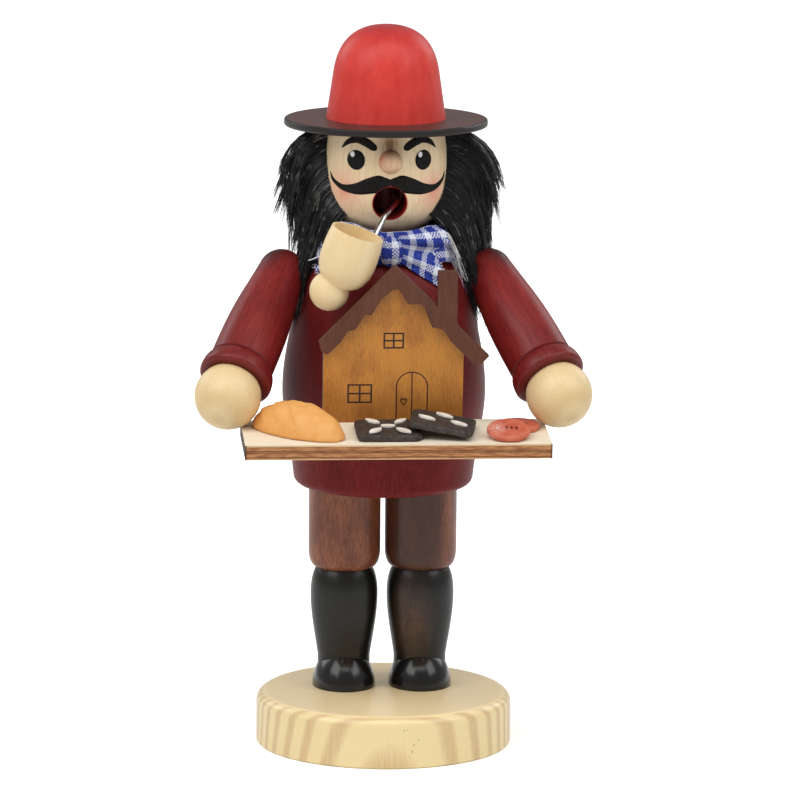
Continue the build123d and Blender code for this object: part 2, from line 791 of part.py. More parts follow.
def flat_almonds():
    """One almond in the middle and four round it, pointing at the corners."""
    nuts = [flat_biscuit_frame() * almond()]
    for number in range(4):
        around = Rot(0, 0, 45 + 90 * number) * Pos(almond_ring, 0, 0)
        nuts.append(flat_biscuit_frame() * around * almond())
    return Compound(children=nuts)


def leaning_almonds():
    """Three almonds side by side on a slant, the middle one set back."""
    nuts = []
    for number in (-1, 0, 1):
        back = almond_ring - 1.5 * almond_ring * abs(number)
        slot = Pos(number * almond_ring, back, 0) * Rot(0, 0, almond_slant)
        nuts.append(leaning_biscuit_frame() * slot * almond())
    return Compound(children=nuts)


def sausage_slice():
    disc = extrude(Circle(sausage_radius), sausage_thickness)
    return fillet(disc.edges(), sausage_thickness / 6)


def leaning_slice_frame():
    """The second slice lies with its back edge on the first."""
    across = back_slice_place[0] + front_slice_shift[0]
    forward = back_slice_place[1] + front_slice_shift[1]
    overlap = 2 * sausage_radius - hypot(*front_slice_shift)
    lean = asin((sausage_thickness + rest_gap) / (2 * sausage_radius - overlap))
    return on_tray((across, forward), 0, 0, degrees(lean), sin(lean) * sausage_radius + rest_gap)


# Pipe


def stem_back_y():
    """Y of the stem's inner end, in the wood behind the duct."""
    return axis_y + sqrt(duct_radius**2 - stem_offset**2) + stem_depth


def bowl_frame():
    """Frame of the pipe's bowl: its origin in the middle of the rim, its Z up the bowl's axis."""
    across, forward, up = bowl_rim_place
    return Location((across, axis_y - forward, mouth_z + up)) * Rot(bowl_lean_forward, bowl_lean_side, 0)


def stem_bends():
    """The two places where the wire bends: in the mouth and in front of the chin."""
    across, forward, up = stem_second_bend
    return (Vector(stem_offset, axis_y - stem_bend_forward, stem_z),
            Vector(across, axis_y - forward, mouth_z + up))


def stem_entry(further=0.0):
    """Where the stem ends in the bowl's wall, or a point further along its last run."""
    turned = radians(stem_entry_turn)
    radius = bowl_radius - bowl_wall / 2
    end = (bowl_frame() * Pos(radius * sin(turned), radius * cos(turned), -stem_entry_drop)).position
    last_run = (end - stem_bends()[1]).normalized()
    return end + last_run * further


def pipe_stem():
    back = (stem_offset, stem_back_y(), stem_z)
    path = FilletPolyline(back, *stem_bends(), stem_entry(), radius=stem_bend_radius)
    return sweep(Plane(origin=back, z_dir=(0, -1, 0)) * Circle(stem_radius), path=path)


def bowl_blank():
    return bowl_frame() * turn(
        Line((0, 0), (bowl_rim_radius, 0)),
        Spline((bowl_rim_radius, 0), (bowl_radius, -bowl_swell_drop), (bowl_foot_radius, -bowl_length),
               tangents=((0.15, -1), (-1, -0.3))),
        Polyline((bowl_foot_radius, -bowl_length), (0, -bowl_length), (0, 0)))


def pipe_bowl():
    inner = bowl_rim_radius - bowl_wall
    hollow = bowl_frame() * turn(
        Line((0, 0), (inner, 0)),
        Spline((inner, 0), (inner, -bowl_depth / 2), (0, -bowl_depth), tangents=((0, -1), (-1, 0))),
        Line((0, -bowl_depth), (0, 0)))
    stem_hole = rod(stem_entry(rest_gap), stem_entry(-bowl_radius), stem_radius + glue_gap)
    return bowl_blank() - hollow - stem_hole


def pipe_ball():
    ball = bowl_frame() * Pos(pipe_ball_side, 0, -pipe_ball_drop) * Sphere(pipe_ball_radius)
    return ball - bowl_blank()


def pieces():
    right_x, left_x = leg_places()
    yield "base_disc", base_disc()
    yield "left_leg", leg(left_x)
    yield "right_leg", leg(right_x)
    yield "left_shoe", shoe(left_x)
    yield "right_shoe", shoe(right_x)
    yield "seat_disc", seat_disc()
    yield "cone_plate", cone_plate()
    yield "cone_plate_tack", tack_blank(0)
    yield "coat", coat()
    yield "neck_tube", neck_tube()
    yield "head", head()
    yield "nose", nose()
    yield "hat_brim", hat_brim()
    yield "hat_crown", hat_crown()
    yield "hat_dowel", hat_dowel()
    yield "hair", hair()
    yield "neckerchief", neckerchief()
    yield "left_arm", left_arm()
    yield "right_arm", other_side(left_arm())
    yield "shoulder_dowels", both_sides(shoulder_dowel(shoulder_dowel_radius, 1))
    yield "left_hand", left_hand()
    yield "right_hand", other_side(left_hand())
    yield "hand_dowels", both_sides(hand_dowel(hand_dowel_radius))
    yield "tray", tray()
    yield "tray_dowels", both_sides(tray_dowel(tray_dowel_radius, 1))
    yield "house_wall", house_wall()
    yield "house_roof", house_roof()
    yield "bread_loaf", bread_loaf()
    yield "flat_gingerbread", flat_biscuit_frame() * biscuit()
    yield "leaning_gingerbread", leaning_biscuit_frame() * biscuit()
    yield "flat_gingerbread_almonds", flat_almonds()
    yield "leaning_gingerbread_almonds", leaning_almonds()
    yield "back_sausage_slice", on_tray(back_slice_place) * sausage_slice()
    yield "front_sausage_slice", leaning_slice_frame() * sausage_slice()
    yield "pipe_bowl", pipe_bowl()
    yield "pipe_ball", pipe_ball()
    yield "pipe_stem", pipe_stem()


os.makedirs("parts", exist_ok=True)
for name, shape in pieces():
    export_step(shape, f"parts/{name}.step")
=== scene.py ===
# %% [markdown]
# A turned wooden incense smoker from the Ore Mountain tradition: a gingerbread seller with a hat,
# a pipe and a vendor's tray. The construction model comes in as a fixed frame of named solids, and
# this lesson gives every surface its finish and makes what a lathe can't: hair, cloth, clay and paint.

import json
from math import cos, pi, radians, sin, sqrt, tau

import bmesh
import bpy
from mathutils import Euler, Matrix, Vector, noise
from mathutils.bvhtree import BVHTree


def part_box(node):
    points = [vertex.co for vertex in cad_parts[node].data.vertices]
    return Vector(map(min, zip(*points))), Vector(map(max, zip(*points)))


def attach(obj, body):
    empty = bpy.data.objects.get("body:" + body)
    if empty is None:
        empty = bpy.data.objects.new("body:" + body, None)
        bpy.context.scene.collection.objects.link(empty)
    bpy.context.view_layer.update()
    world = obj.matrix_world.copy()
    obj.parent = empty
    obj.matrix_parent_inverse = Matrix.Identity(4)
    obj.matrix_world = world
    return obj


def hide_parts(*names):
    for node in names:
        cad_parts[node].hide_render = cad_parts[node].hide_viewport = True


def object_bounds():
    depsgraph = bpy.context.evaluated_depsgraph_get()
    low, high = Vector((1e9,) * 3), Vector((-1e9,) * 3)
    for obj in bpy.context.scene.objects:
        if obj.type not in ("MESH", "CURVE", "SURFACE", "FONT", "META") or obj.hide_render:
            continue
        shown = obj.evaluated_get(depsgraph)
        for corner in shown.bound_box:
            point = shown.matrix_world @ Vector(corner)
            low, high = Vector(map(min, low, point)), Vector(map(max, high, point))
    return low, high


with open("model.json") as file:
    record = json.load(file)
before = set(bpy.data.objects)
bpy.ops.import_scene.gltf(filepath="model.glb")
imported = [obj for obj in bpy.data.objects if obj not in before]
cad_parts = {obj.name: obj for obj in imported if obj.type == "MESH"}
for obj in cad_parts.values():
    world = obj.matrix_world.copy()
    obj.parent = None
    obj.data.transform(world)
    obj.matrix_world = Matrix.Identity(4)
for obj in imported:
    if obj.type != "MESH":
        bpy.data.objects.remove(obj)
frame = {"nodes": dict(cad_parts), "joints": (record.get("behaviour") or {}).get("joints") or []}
cad_box = [list(corner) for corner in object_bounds()]
nodes = frame["nodes"]
scene = bpy.context.scene
MM = 0.001
print("nodes", len(nodes), "box", cad_box)

# %% [markdown]
# The main places are read from the frame: boxes of nodes, and the axis of the pipe's joint, which
# passes through the mouth. The tray leans forward, so it gets a frame of its own, in which its plies
# and the house on it are measured.

# %% Places read from the frame
joints = {joint["name"]: joint for joint in frame["joints"]}
_, axis_y, mouth_z = joints["pipe_swing"]["pos_m"]
head_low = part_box("head")[0]
brim_low, brim_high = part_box("hat_brim")
base_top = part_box("base_disc")[1].z
coat_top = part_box("coat")[1].z
tray_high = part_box("tray")[1]
tray_tilt = radians(4.5)
tray_thickness = 4.3 * MM
tray_origin = Vector((0, tray_high.y - tray_thickness * sin(tray_tilt), tray_high.z))
tray_turn = Euler((tray_tilt, 0, 0))
tray_frame = Matrix.Translation(tray_origin) @ tray_turn.to_matrix().to_4x4()


def middle(node):
    """Centre of a node's box."""
    low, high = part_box(node)
    return (low + high) / 2


hand_centre = middle("left_hand")
shoulder = Vector((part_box("shoulder_dowels")[1].x, *middle("shoulder_dowels").yz))
sleeve_axis = (hand_centre - shoulder).normalized()
print("sleeve axis", sleeve_axis, "tray origin", tray_origin)

# %% [markdown]
# The photograph was taken with a long lens from a little above and slightly to the figure's right.
# A camera is three directions and a place: it looks along the horizontal way to the object, pitched
# down, and a small roll leans the figure as it leans in the picture.

# %% Camera
camera_azimuth = radians(-4.7)
camera_pitch = radians(10.23)
camera_roll = radians(0.5)
camera_distance = 1.571
camera_height = 0.3844
camera_shift = 0.0041
camera_lens = 248.1
away = Vector((-sin(camera_azimuth), cos(camera_azimuth), 0))
right = Vector((cos(camera_azimuth), sin(camera_azimuth), 0))
up = Vector((0, 0, 1))
aim = away * cos(camera_pitch) - up * sin(camera_pitch)
upright = right.cross(aim)
across = right * cos(camera_roll) + upright * sin(camera_roll)
turn = Matrix((across, aim.cross(across) * -1, -aim)).transposed()
camera = bpy.data.objects.new("camera", bpy.data.cameras.new("camera"))
camera.data.sensor_width = 36
camera.data.lens = camera_lens
place = right * camera_shift - away * camera_distance + up * camera_height
camera.matrix_world = Matrix.Translation(place) @ turn.to_4x4()
scene.collection.objects.link(camera)
scene.camera = camera
print("camera at", place)

# %% [markdown]
# One function turns a written colour, as sRGB hex, into the linear numbers that shaders use. Another
# adds a node with its settings and links, for materials and Geometry Nodes alike, and the rest are
# short forms of it for the nodes that are used most.

# %% Colours and nodes


def hex_colour(text):
    """Linear RGBA of an sRGB hex colour."""
    parts = [int(text[at:at + 2], 16) / 255 for at in (1, 3, 5)]
    linear = [part / 12.92 if part <= 0.04045 else ((part + 0.055) / 1.055) ** 2.4 for part in parts]
    return (*linear, 1.0)


def add(tree, kind, links=None, **settings):
    """Add a node with its settings. Links gives inputs a value, a socket or a whole node."""
    made = tree.nodes.new(kind)
    for name, value in settings.items():
        setattr(made, name, value)
    for key, value in (links or {}).items():
        named = [socket for socket in made.inputs if socket.name == key and socket.enabled]
        socket = named[0] if named else made.inputs[key]
        if isinstance(value, bpy.types.Node):
            value = next(out for out in value.outputs if out.enabled)
        if isinstance(value, bpy.types.NodeSocket):
            tree.links.new(value, socket)
        else:
            socket.default_value = value
    return made


def maths(tree, operation, *values):
    """A sum, product or the like of numbers, sockets or whole nodes."""
    return add(tree, "ShaderNodeMath", dict(enumerate(values)), operation=operation)


def spread(tree, value, low, high, start=0.0, end=1.0):
    """A value between low and high, moved smoothly to between start and end."""
    return add(tree, "ShaderNodeMapRange", {"Value": value, "From Min": low, "From Max": high,
                                            "To Min": start, "To Max": end}, interpolation_type="SMOOTHSTEP")


def mixed(tree, share, first, second):
    """A colour between two, given as sockets, nodes or hex colours."""
    pair = [hex_colour(colour) if isinstance(colour, str) else colour for colour in (first, second)]
    return add(tree, "ShaderNodeMix", {"Factor": share, "A": pair[0], "B": pair[1]}, data_type="RGBA")


def object_place(tree):
    """The place of a shaded point, in metres."""
    return add(tree, "ShaderNodeTexCoord").outputs["Object"]


def parts_of(tree, vector):
    """X, Y and Z of a vector."""
    return add(tree, "ShaderNodeSeparateXYZ", {"Vector": vector}).outputs


def length_of(tree, vector):
    return add(tree, "ShaderNodeVectorMath", {0: vector}, operation="LENGTH").outputs["Value"]


# %% [markdown]
# Meshes have their own short forms. What modifiers make is baked: the result stays as a plain mesh, and
# the object that carried the modifiers goes.

# %% Mesh helpers


def new_mesh(name, corners, faces):
    mesh = bpy.data.meshes.new(name)
    mesh.from_pydata(corners, [], faces)
    return mesh


def plain_object(name, data):
    """A mesh or a lamp as an object at the origin."""
    made = bpy.data.objects.new(name, data)
    scene.collection.objects.link(made)
    return made


def baked(carrier):
    """The mesh that an object's modifiers make, with smooth faces. The object goes."""
    mesh = bpy.data.meshes.new_from_object(carrier.evaluated_get(bpy.context.evaluated_depsgraph_get()))
    bpy.data.objects.remove(carrier)
    for polygon in mesh.polygons:
        polygon.use_smooth = True
    return mesh


def thickened(name, sheet, thickness):
    """A sheet of faces as a solid object, with half of the thickness on each side."""
    carrier = plain_object(name + "_sheet", sheet)
    thick = carrier.modifiers.new("thickness", "SOLIDIFY")
    thick.thickness = thickness
    thick.offset = 0
    return plain_object(name, baked(carrier))


def grid_faces(rows, columns, first=0):
    """Faces between rows and columns of corners that are numbered row by row."""
    return [(at, at + 1, at + columns + 1, at + columns) for row in range(rows - 1)
            for at in range(first + row * columns, first + (row + 1) * columns - 1)]


def solid_tree(node):
    """A search tree over a node's mesh, for nearest points and rays."""
    mesh = nodes[node].data
    return BVHTree.FromPolygons([tuple(vertex.co) for vertex in mesh.vertices],
                                [tuple(polygon.vertices) for polygon in mesh.polygons])


def between(first, last, share):
    return first + (last - first) * share


def eased(value):
    """Smooth step from 0 to 1."""
    value = min(max(value, 0.0), 1.0)
    return value * value * (3 - 2 * value)


# %% [markdown]
# The figure stands on a pale sweep under large soft lights, as in a product studio. The lamps are weak
# enough that a colour renders about as it is written. The floor shows white to the camera and keeps a
# soft shadow, because only part of its white is its own light, and less of it near the base.

# %% Floor and light
scene.view_settings.view_transform = "Standard"
floor_reach = 6.0
floor_corners = [(x * floor_reach, y * floor_reach, 0) for x, y in ((-1, -1), (1, -1), (1, 1), (-1, 1))]
floor = plain_object("floor", new_mesh("floor", floor_corners, [(0, 1, 2, 3)]))

paper = bpy.data.materials.new("white_paper_sweep")
paper.use_nodes = True
tree = paper.node_tree
tree.nodes.clear()
mirrored_share = 0.25
near_glow, far_glow = 0.38, 0.78
matte = add(tree, "ShaderNodeBsdfDiffuse", {"Color": hex_colour("#EDEDED")})
ray = add(tree, "ShaderNodeLightPath").outputs
mirrored_ray = maths(tree, "MAXIMUM", ray["Is Glossy Ray"], ray["Is Transmission Ray"])
seen = maths(tree, "MAXIMUM", ray["Is Camera Ray"], maths(tree, "MULTIPLY", mirrored_ray, mirrored_share))
far = spread(tree, length_of(tree, object_place(tree)), 0.03, 0.45, near_glow, far_glow)
lift = maths(tree, "MULTIPLY", seen, far)
glow = add(tree, "ShaderNodeEmission", {"Color": (1, 1, 1, 1), "Strength": lift})
both = add(tree, "ShaderNodeAddShader", {0: matte, 1: glow})
add(tree, "ShaderNodeOutputMaterial", {"Surface": both})
floor.data.materials.append(paper)

world = bpy.data.worlds.new("studio")
world.use_nodes = True
sky = world.node_tree.nodes["Background"].inputs
sky["Color"].default_value = (1, 1, 1, 1)
sky["Strength"].default_value = 0.38
scene.world = world

lamp_aim = Vector((0, 0, 0.11))
softboxes = [("left_softbox", (-0.95, -0.62, 1.15), 1.0, 9.5),
             ("right_softbox", (1.0, -0.62, 1.1), 0.9, 6.8),
             ("top_softbox", (0.0, -0.62, 1.25), 0.9, 5.2),
             ("left_back_softbox", (-0.95, 0.85, 0.75), 0.7, 3.0),
             ("right_back_softbox", (1.0, 0.85, 0.75), 0.7, 3.0)]
for name, place, size, watts in softboxes:
    lamp = bpy.data.lights.new(name, "AREA")
    lamp.size = size
    lamp.energy = watts
    made = plain_object(name, lamp)
    made.location = place
    made.rotation_euler = (lamp_aim - made.location).to_track_quat("-Z", "Y").to_euler()
    print(name, watts, "watts")

# %% [markdown]
# Wood first. Under a clear lacquer the eye reads fibre: short streaks a few tenths of a millimetre wide
# that run with the grain, and broader clouds where the stain sank in. Both are noise, squeezed across
# the grain and stretched along it. A Mapping node in Texture mode takes real sizes, so streaks are
# written in millimetres.

# %% Material helpers
finish_sockets = {"rough": "Roughness", "ior": "IOR", "shine": "Specular IOR Level", "coat": "Coat Weight",
                  "coat_rough": "Coat Roughness", "metallic": "Metallic"}


def new_material(name, **finish):
    """A material with one Principled shader. Its constant finish is set on the shader's own sockets."""
    material = bpy.data.materials.new(name)
    material.use_nodes = True
    shader = material.node_tree.nodes["Principled BSDF"]
    for word, value in finish.items():
        shader.inputs[finish_sockets[word]].default_value = value
    return material, material.node_tree, shader


def laid(tree, size, centre=(0, 0, 0), rotation=(0, 0, 0)):
    """Object coordinates about a centre, turned, in units of a size given in millimetres."""
    scale = [part * MM for part in size]
    return add(tree, "ShaderNodeMapping", {"Vector": object_place(tree), "Location": centre,
                                           "Rotation": rotation, "Scale": scale}, vector_type="TEXTURE")


def grain(tree, along, width, length, detail=3.0):
    """Noise drawn out along a direction, with streaks of that width and length in millimetres."""
    rotation = Vector(along).to_track_quat("Z", "Y").to_euler()
    cells = laid(tree, (width, width, length), rotation=rotation)
    return add(tree, "ShaderNodeTexNoise", {"Vector": cells, "Scale": 1.0, "Detail": detail,
                                            "Roughness": 0.6})


def mottle(tree, size, detail, stretch=1):
    """Noise with lumps of a size in millimetres, stretched upward."""
    cells = laid(tree, (size, size, size * stretch))
    return add(tree, "ShaderNodeTexNoise", {"Vector": cells, "Scale": 1.0, "Detail": detail})


def growth_rings(tree, cells, ring, distortion, detail, detail_scale, phase=0.0):
    """Rings about Z, with a year's width in millimetres."""
    links = {"Vector": cells, "Scale": tau / 20 / ring, "Distortion": distortion, "Detail": detail,
             "Detail Scale": detail_scale, "Phase Offset": phase}
    return add(tree, "ShaderNodeTexWave", links, wave_type="RINGS", rings_direction="Z").outputs["Fac"]


def flat_length(tree, first, second):
    """Length of a vector with two parts."""
    return length_of(tree, add(tree, "ShaderNodeCombineXYZ", {"X": first, "Y": second, "Z": 0.0}))


def finish_with(tree, shader, colour, height=None, depth=0.02):
    """Give the shader its colour, and a bump whose depth is in millimetres."""
    tree.links.new(next(out for out in colour.outputs if out.enabled), shader.inputs["Base Color"])
    if height:
        bump = add(tree, "ShaderNodeBump", {"Height": height, "Distance": depth * MM, "Strength": 0.5})
        tree.links.new(bump.outputs["Normal"], shader.inputs["Normal"])


def fall_off(tree, place, size, kind):
    """One at a place, falling to nothing over a size in millimetres."""
    spot = add(tree, "ShaderNodeTexGradient", {"Vector": laid(tree, size, place)}, gradient_type=kind)
    return spot.outputs["Fac"]


def tint(tree, place, size, strength=1.0):
    """A strength at a place that falls to nothing softly."""
    return maths(tree, "MULTIPLY", fall_off(tree, place, size, "QUADRATIC_SPHERE"), strength)


def stained_wood(name, deep, pale, along=(0, 0, 1), gloss=0.46, streak=0.5, shine=0.3, coat=0.06,
                 stain_and_shade=(), stain_and_shade_tone="#3E0D10"):
    """Turned wood under a coloured stain and a satin lacquer, painted darker round given places: painted
    shade where parts meet or less light falls, and stain soaked in where the wood took more of it.
    """
    material, tree, shader = new_material(name, rough=gloss, ior=1.45, shine=shine, coat=coat,
                                          coat_rough=0.2)
    fibre = grain(tree, along, streak, 8.0)
    cloud = grain(tree, along, 8.0, 26.0, detail=1.0)
    tone = maths(tree, "MULTIPLY_ADD", cloud, 0.6, fibre)
    colour = mixed(tree, spread(tree, tone, 0.4, 1.2), deep, pale)
    # Each place darkens the colour softly: painted shade, partly standing for stain that soaked in.
    for place, size in stain_and_shade:
        colour = mixed(tree, tint(tree, place, (size, size, size), 1.6), colour, stain_and_shade_tone)
    finish_with(tree, shader, colour, fibre, depth=0.03)
    return material


def clear_wood(name, shade, pale, along=(0, 0, 1), centre=(0, 0, 0), ring=2.2):
    """Linden under a clear lacquer: faint growth rings round the grain's axis and fine fibre."""
    material, tree, shader = new_material(name, rough=0.42, ior=1.5, coat=0.15, coat_rough=0.3)
    rotation = Vector(along).to_track_quat("Z", "Y").to_euler()
    rings = growth_rings(tree, laid(tree, (1, 1, 6), centre, rotation), ring, 1.6, 2.0, 0.7)
    fibre = grain(tree, along, 0.35, 7.0)
    tone = maths(tree, "MULTIPLY_ADD", rings, 0.35, fibre)
    colour = mixed(tree, spread(tree, tone, 0.35, 1.05), shade, pale)
    finish_with(tree, shader, colour, fibre, depth=0.02)
    return material


# %% [markdown]
# The base is a thick slice of pine. The log's heart lies behind the figure, so the rings meet the
# front of the rim flat, as a calm pale field, and cross the sides steeply, as narrow upright bands.

# %% Pine base


def pine_base():
    material, tree, shader = new_material("clear_lacquered_pine", rough=0.42, ior=1.5, coat=0.5,
                                          coat_rough=0.15)
    heart = (2 * MM, 62 * MM, 0)
    lean = (radians(5), radians(-4), 0)
    rings = growth_rings(tree, laid(tree, (1, 1, 2.2), heart, lean), 3.3, 2.0, 1.5, 0.3, phase=3.4)
    fibre = grain(tree, (0, 0, 1), 0.4, 9.0)
    height = parts_of(tree, object_place(tree))["Z"]
    # Painted light: the top is painted paler than the side, to make up for the shade that the figure and the
    # tray cast on it.
    rim = spread(tree, height, base_top - 0.6 * MM, base_top - 0.1 * MM, 1.0, 0.12)
    band = maths(tree, "MULTIPLY", spread(tree, rings, 0.3, 1.0), rim)
    early_wood_with_painted_light_top = mixed(tree, rim, "#FFE6B4", "#EFD89E")
    late = mixed(tree, band, early_wood_with_painted_light_top, "#D6B57F")
    colour = mixed(tree, spread(tree, fibre, 0.3, 0.7, 0.0, 0.3), late, "#F1E0B6")
    flecks = spread(tree, mottle(tree, 0.5, 1.0, stretch=2.2), 0.69, 0.76)
    clusters = spread(tree, mottle(tree, 11, 0.0), 0.64, 0.74)
    colour = mixed(tree, maths(tree, "MULTIPLY", flecks, clusters), colour, "#8C7048")
    finish_with(tree, shader, colour, fibre, depth=0.03)
    return material


# %% [markdown]
# Legs are turned in one piece and stained in two colours that meet in the groove of the knee. The
# trousers are brown with the fibre showing through, and darker on the left leg. The boots are black,
# and on the left one the stain is rubbed thin.

# %% Stained legs
knee_z = base_top + 35.2 * MM
rubbed_place = Vector((7.0 * MM, axis_y - 10 * MM, base_top + 20 * MM))


def leg_stain():
    material, tree, shader = new_material("brown_and_black_stain", rough=0.36, ior=1.45, shine=0.4,
                                          coat=0.12, coat_rough=0.2)
    fibre = grain(tree, (0, 0, 1), 0.4, 2.5)
    cloud = grain(tree, (0, 0, 1), 6.0, 14.0, detail=2.0)
    tone = maths(tree, "ADD", fibre, cloud)
    place = parts_of(tree, object_place(tree))
    brown = mixed(tree, spread(tree, tone, 0.75, 1.25), "#683827", "#8C5439")
    fleck = spread(tree, maths(tree, "MULTIPLY", fibre, cloud), 0.26, 0.42, 0.0, 0.75)
    brown = mixed(tree, fleck, brown, "#9A5B38")
    left_side = spread(tree, place["X"], -1 * MM, 2 * MM, 0.0, 0.8)
    outer = spread(tree, place["X"], 15 * MM, 19 * MM, 1.0, 0.0)
    trousers = mixed(tree, maths(tree, "MULTIPLY", left_side, outer), brown, "#33201A")
    spot = fall_off(tree, rubbed_place, (9, 9, 16), "SPHERICAL")
    rubbed = maths(tree, "MULTIPLY", spot, spread(tree, tone, 0.7, 1.2, 0.35, 1.0))
    boots = mixed(tree, spread(tree, tone, 0.7, 1.3), "#0C0B09", "#171511")
    boots = mixed(tree, rubbed, boots, "#5C3E2D")
    wavy = maths(tree, "MULTIPLY_ADD", tone, 0.6 * MM, place["Z"])
    upper = spread(tree, wavy, knee_z + 0.4 * MM, knee_z + 1.2 * MM)
    finish_with(tree, shader, mixed(tree, upper, boots, trousers), fibre, depth=0.04)
    return material


# %% [markdown]
# The head is pale wood with a face on it: pink is rubbed into the cheeks, brown above the nose, the rim
# and wall of the mouth are red, and inside it is dark. These soft tints follow distances from named
# places. The nose is a bead of its own, and the hat's brim has a darker edge.

# %% Painted head and brim
mouth_radius = 4.85
cheek_x, cheek_z = 12.4, 162.6
nose_place = middle("nose")
above_nose = Vector((0, head_low.y + 1 * MM, nose_place.z + 4.8 * MM))
duct_place = Vector((0, axis_y, mouth_z - 4 * MM))


def head_paint():
    material, tree, shader = new_material("painted_linden_head", rough=0.45, ior=1.5, coat=0.1,
                                          coat_rough=0.3)
    fibre = grain(tree, (0, 0, 1), 0.7, 18.0, detail=2.0)
    colour = mixed(tree, spread(tree, fibre, 0.3, 0.7), "#F5D9AB", "#FFE9C2")
    uneven = spread(tree, fibre, 0.3, 0.6, 0.9, 1.7)
    stain = maths(tree, "MULTIPLY", tint(tree, above_nose, (6.0, 6, 5.5)), uneven)
    colour = mixed(tree, stain, colour, "#8A6038")
    for side in (-1, 1):
        cheek = Vector((side * cheek_x * MM, axis_y - 12 * MM, cheek_z * MM))
        colour = mixed(tree, tint(tree, cheek, (11, 12, 11)), colour, "#E69079")
    colour = mixed(tree, tint(tree, duct_place, (13, 13, 15), 2.5), colour, "#3A1A14")
    bore = parts_of(tree, laid(tree, (1, 1, 1), Vector((0, axis_y, mouth_z))))
    off = flat_length(tree, bore["X"], bore["Z"])
    rim = spread(tree, off, mouth_radius + 0.2, mouth_radius + 0.35, 1.0, 0.0)
    red = mixed(tree, spread(tree, bore["Y"], -9.0, -15.0), "#8A3A2C", "#B01E1E")
    finish_with(tree, shader, mixed(tree, rim, colour, red), fibre, depth=0.01)
    return material


def nose_paint():
    """The bead has the face's colour, rubbed pink on its right and browner wood on top."""
    material, tree, shader = new_material("painted_linden_nose", rough=0.45, ior=1.5)
    fibre = grain(tree, (0, 0, 1), 0.5, 6.0, detail=2.0)
    colour = mixed(tree, spread(tree, fibre, 0.3, 0.7), "#DAAE8A", "#EBC6A0")
    top = tint(tree, nose_place + Vector((0.6, -1.0, 3.4)) * MM, (6.0, 6.0, 4.6), 1.5)
    colour = mixed(tree, top, colour, "#7A5534")
    pink = tint(tree, nose_place + Vector((-2.2, -2.4, 0.8)) * MM, (4.2, 4.2, 4.2), 1.3)
    finish_with(tree, shader, mixed(tree, pink, colour, "#CC6A52"), fibre, depth=0.01)
    return material


def brim_stain():
    """Red-brown above and below, and near black on the sawn edge."""
    material, tree, shader = new_material("dark_brown_stain", rough=0.4, ior=1.45, shine=0.4)
    fibre = grain(tree, (1, 0, 0), 0.5, 8.0)
    face = mixed(tree, spread(tree, fibre, 0.3, 0.7), "#3E201C", "#553029")
    off = parts_of(tree, laid(tree, (1, 1, 1), Vector((0, axis_y, brim_low.z))))
    edge_at = (brim_high.x - brim_low.x) / 2 / MM
    edge = spread(tree, flat_length(tree, off["X"], off["Y"]), edge_at - 1.0, edge_at - 0.3)
    finish_with(tree, shader, mixed(tree, edge, face, "#1D1916"), fibre, depth=0.03)
    return material


# %% [markdown]
# Plywood shows its layers at every cut edge: pale faces, brown cores, dark glue lines, and a scorched
# skin where the laser went through. The tray's plies are read from the height in the tray's own frame.

# %% Plywood
glue_lines = (-0.45, -1.75, -2.25, -3.6)
wall_front = -3.0


def in_tray(tree):
    """Coordinates in the tray's frame, in millimetres: across, backward, up from its top."""
    return parts_of(tree, laid(tree, (1, 1, 1), tray_origin, tray_turn))


def tray_plywood():
    material, tree, shader = new_material("birch_plywood", rough=0.6, ior=1.45)
    place = in_tray(tree)
    sideways = (1, 0, 0)
    fibre = grain(tree, sideways, 0.5, 11.0)
    face = mixed(tree, spread(tree, fibre, 0.3, 0.7), "#E7D8BD", "#F5EAD5")
    scorch = grain(tree, sideways, 0.5, 4.0)
    edge = mixed(tree, spread(tree, scorch, 0.3, 0.7), "#925731", "#C48A56")
    wobble = grain(tree, sideways, 8.0, 9.0, detail=0.0)
    depth = maths(tree, "MULTIPLY_ADD", wobble, 0.25, place["Z"])
    for line in glue_lines:
        off = maths(tree, "ABSOLUTE", maths(tree, "SUBTRACT", depth, line + 0.12))
        edge = mixed(tree, spread(tree, off, 0.05, 0.28, 0.7, 0.0), edge, "#4E2A17")
    edge = mixed(tree, spread(tree, depth, -0.42, -0.3), edge, "#D9B98C")
    edge = mixed(tree, spread(tree, depth, -3.85, -4.0), edge, "#D2AE82")
    ends = spread(tree, maths(tree, "ABSOLUTE", place["X"]), 42.6, 43.3)
    edge = mixed(tree, ends, edge, "#40271A")
    top = spread(tree, place["Z"], -0.06, -0.02)
    finish_with(tree, shader, mixed(tree, top, edge, face), fibre, depth=0.03)
    return material


def wall_plywood():
    """Amber stain, darker near the tray, with burnt lines where the plate is engraved."""
    material, tree, shader = new_material("amber_stained_plywood", rough=0.5, ior=1.48, coat=0.1,
                                          coat_rough=0.3)
    place = in_tray(tree)
    fibre = grain(tree, (0, 0, 1), 0.35, 2.6)
    cloud = grain(tree, (0, 0, 1), 7.0, 14.0, detail=1.0)
    tone = maths(tree, "ADD", fibre, cloud)
    face = mixed(tree, spread(tree, tone, 0.7, 1.3), "#A5641C", "#CB862D")
    face = mixed(tree, spread(tree, place["Z"], 0.0, 13.0, 0.55, 0.0), face, "#7A4A1E")
    groove = spread(tree, place["Y"], wall_front + 0.06, wall_front + 0.16)
    finish_with(tree, shader, mixed(tree, groove, face, "#3A1C10"), fibre, depth=0.03)
    return material


# %% [markdown]
# The goods are modelling clay, which is matte and a little uneven. Mottling and a soft bump keep it
# from looking like plastic. The wire and the plate for the cone are metal.

# %% Clay and metal


def clay(name, dark, light, lump=1.6, depth=0.12):
    material, tree, shader = new_material(name, rough=0.62, ior=1.45)
    lumps = mottle(tree, lump, 3.0)
    finish_with(tree, shader, mixed(tree, spread(tree, lumps, 0.3, 0.7), dark, light), lumps, depth)
    return material


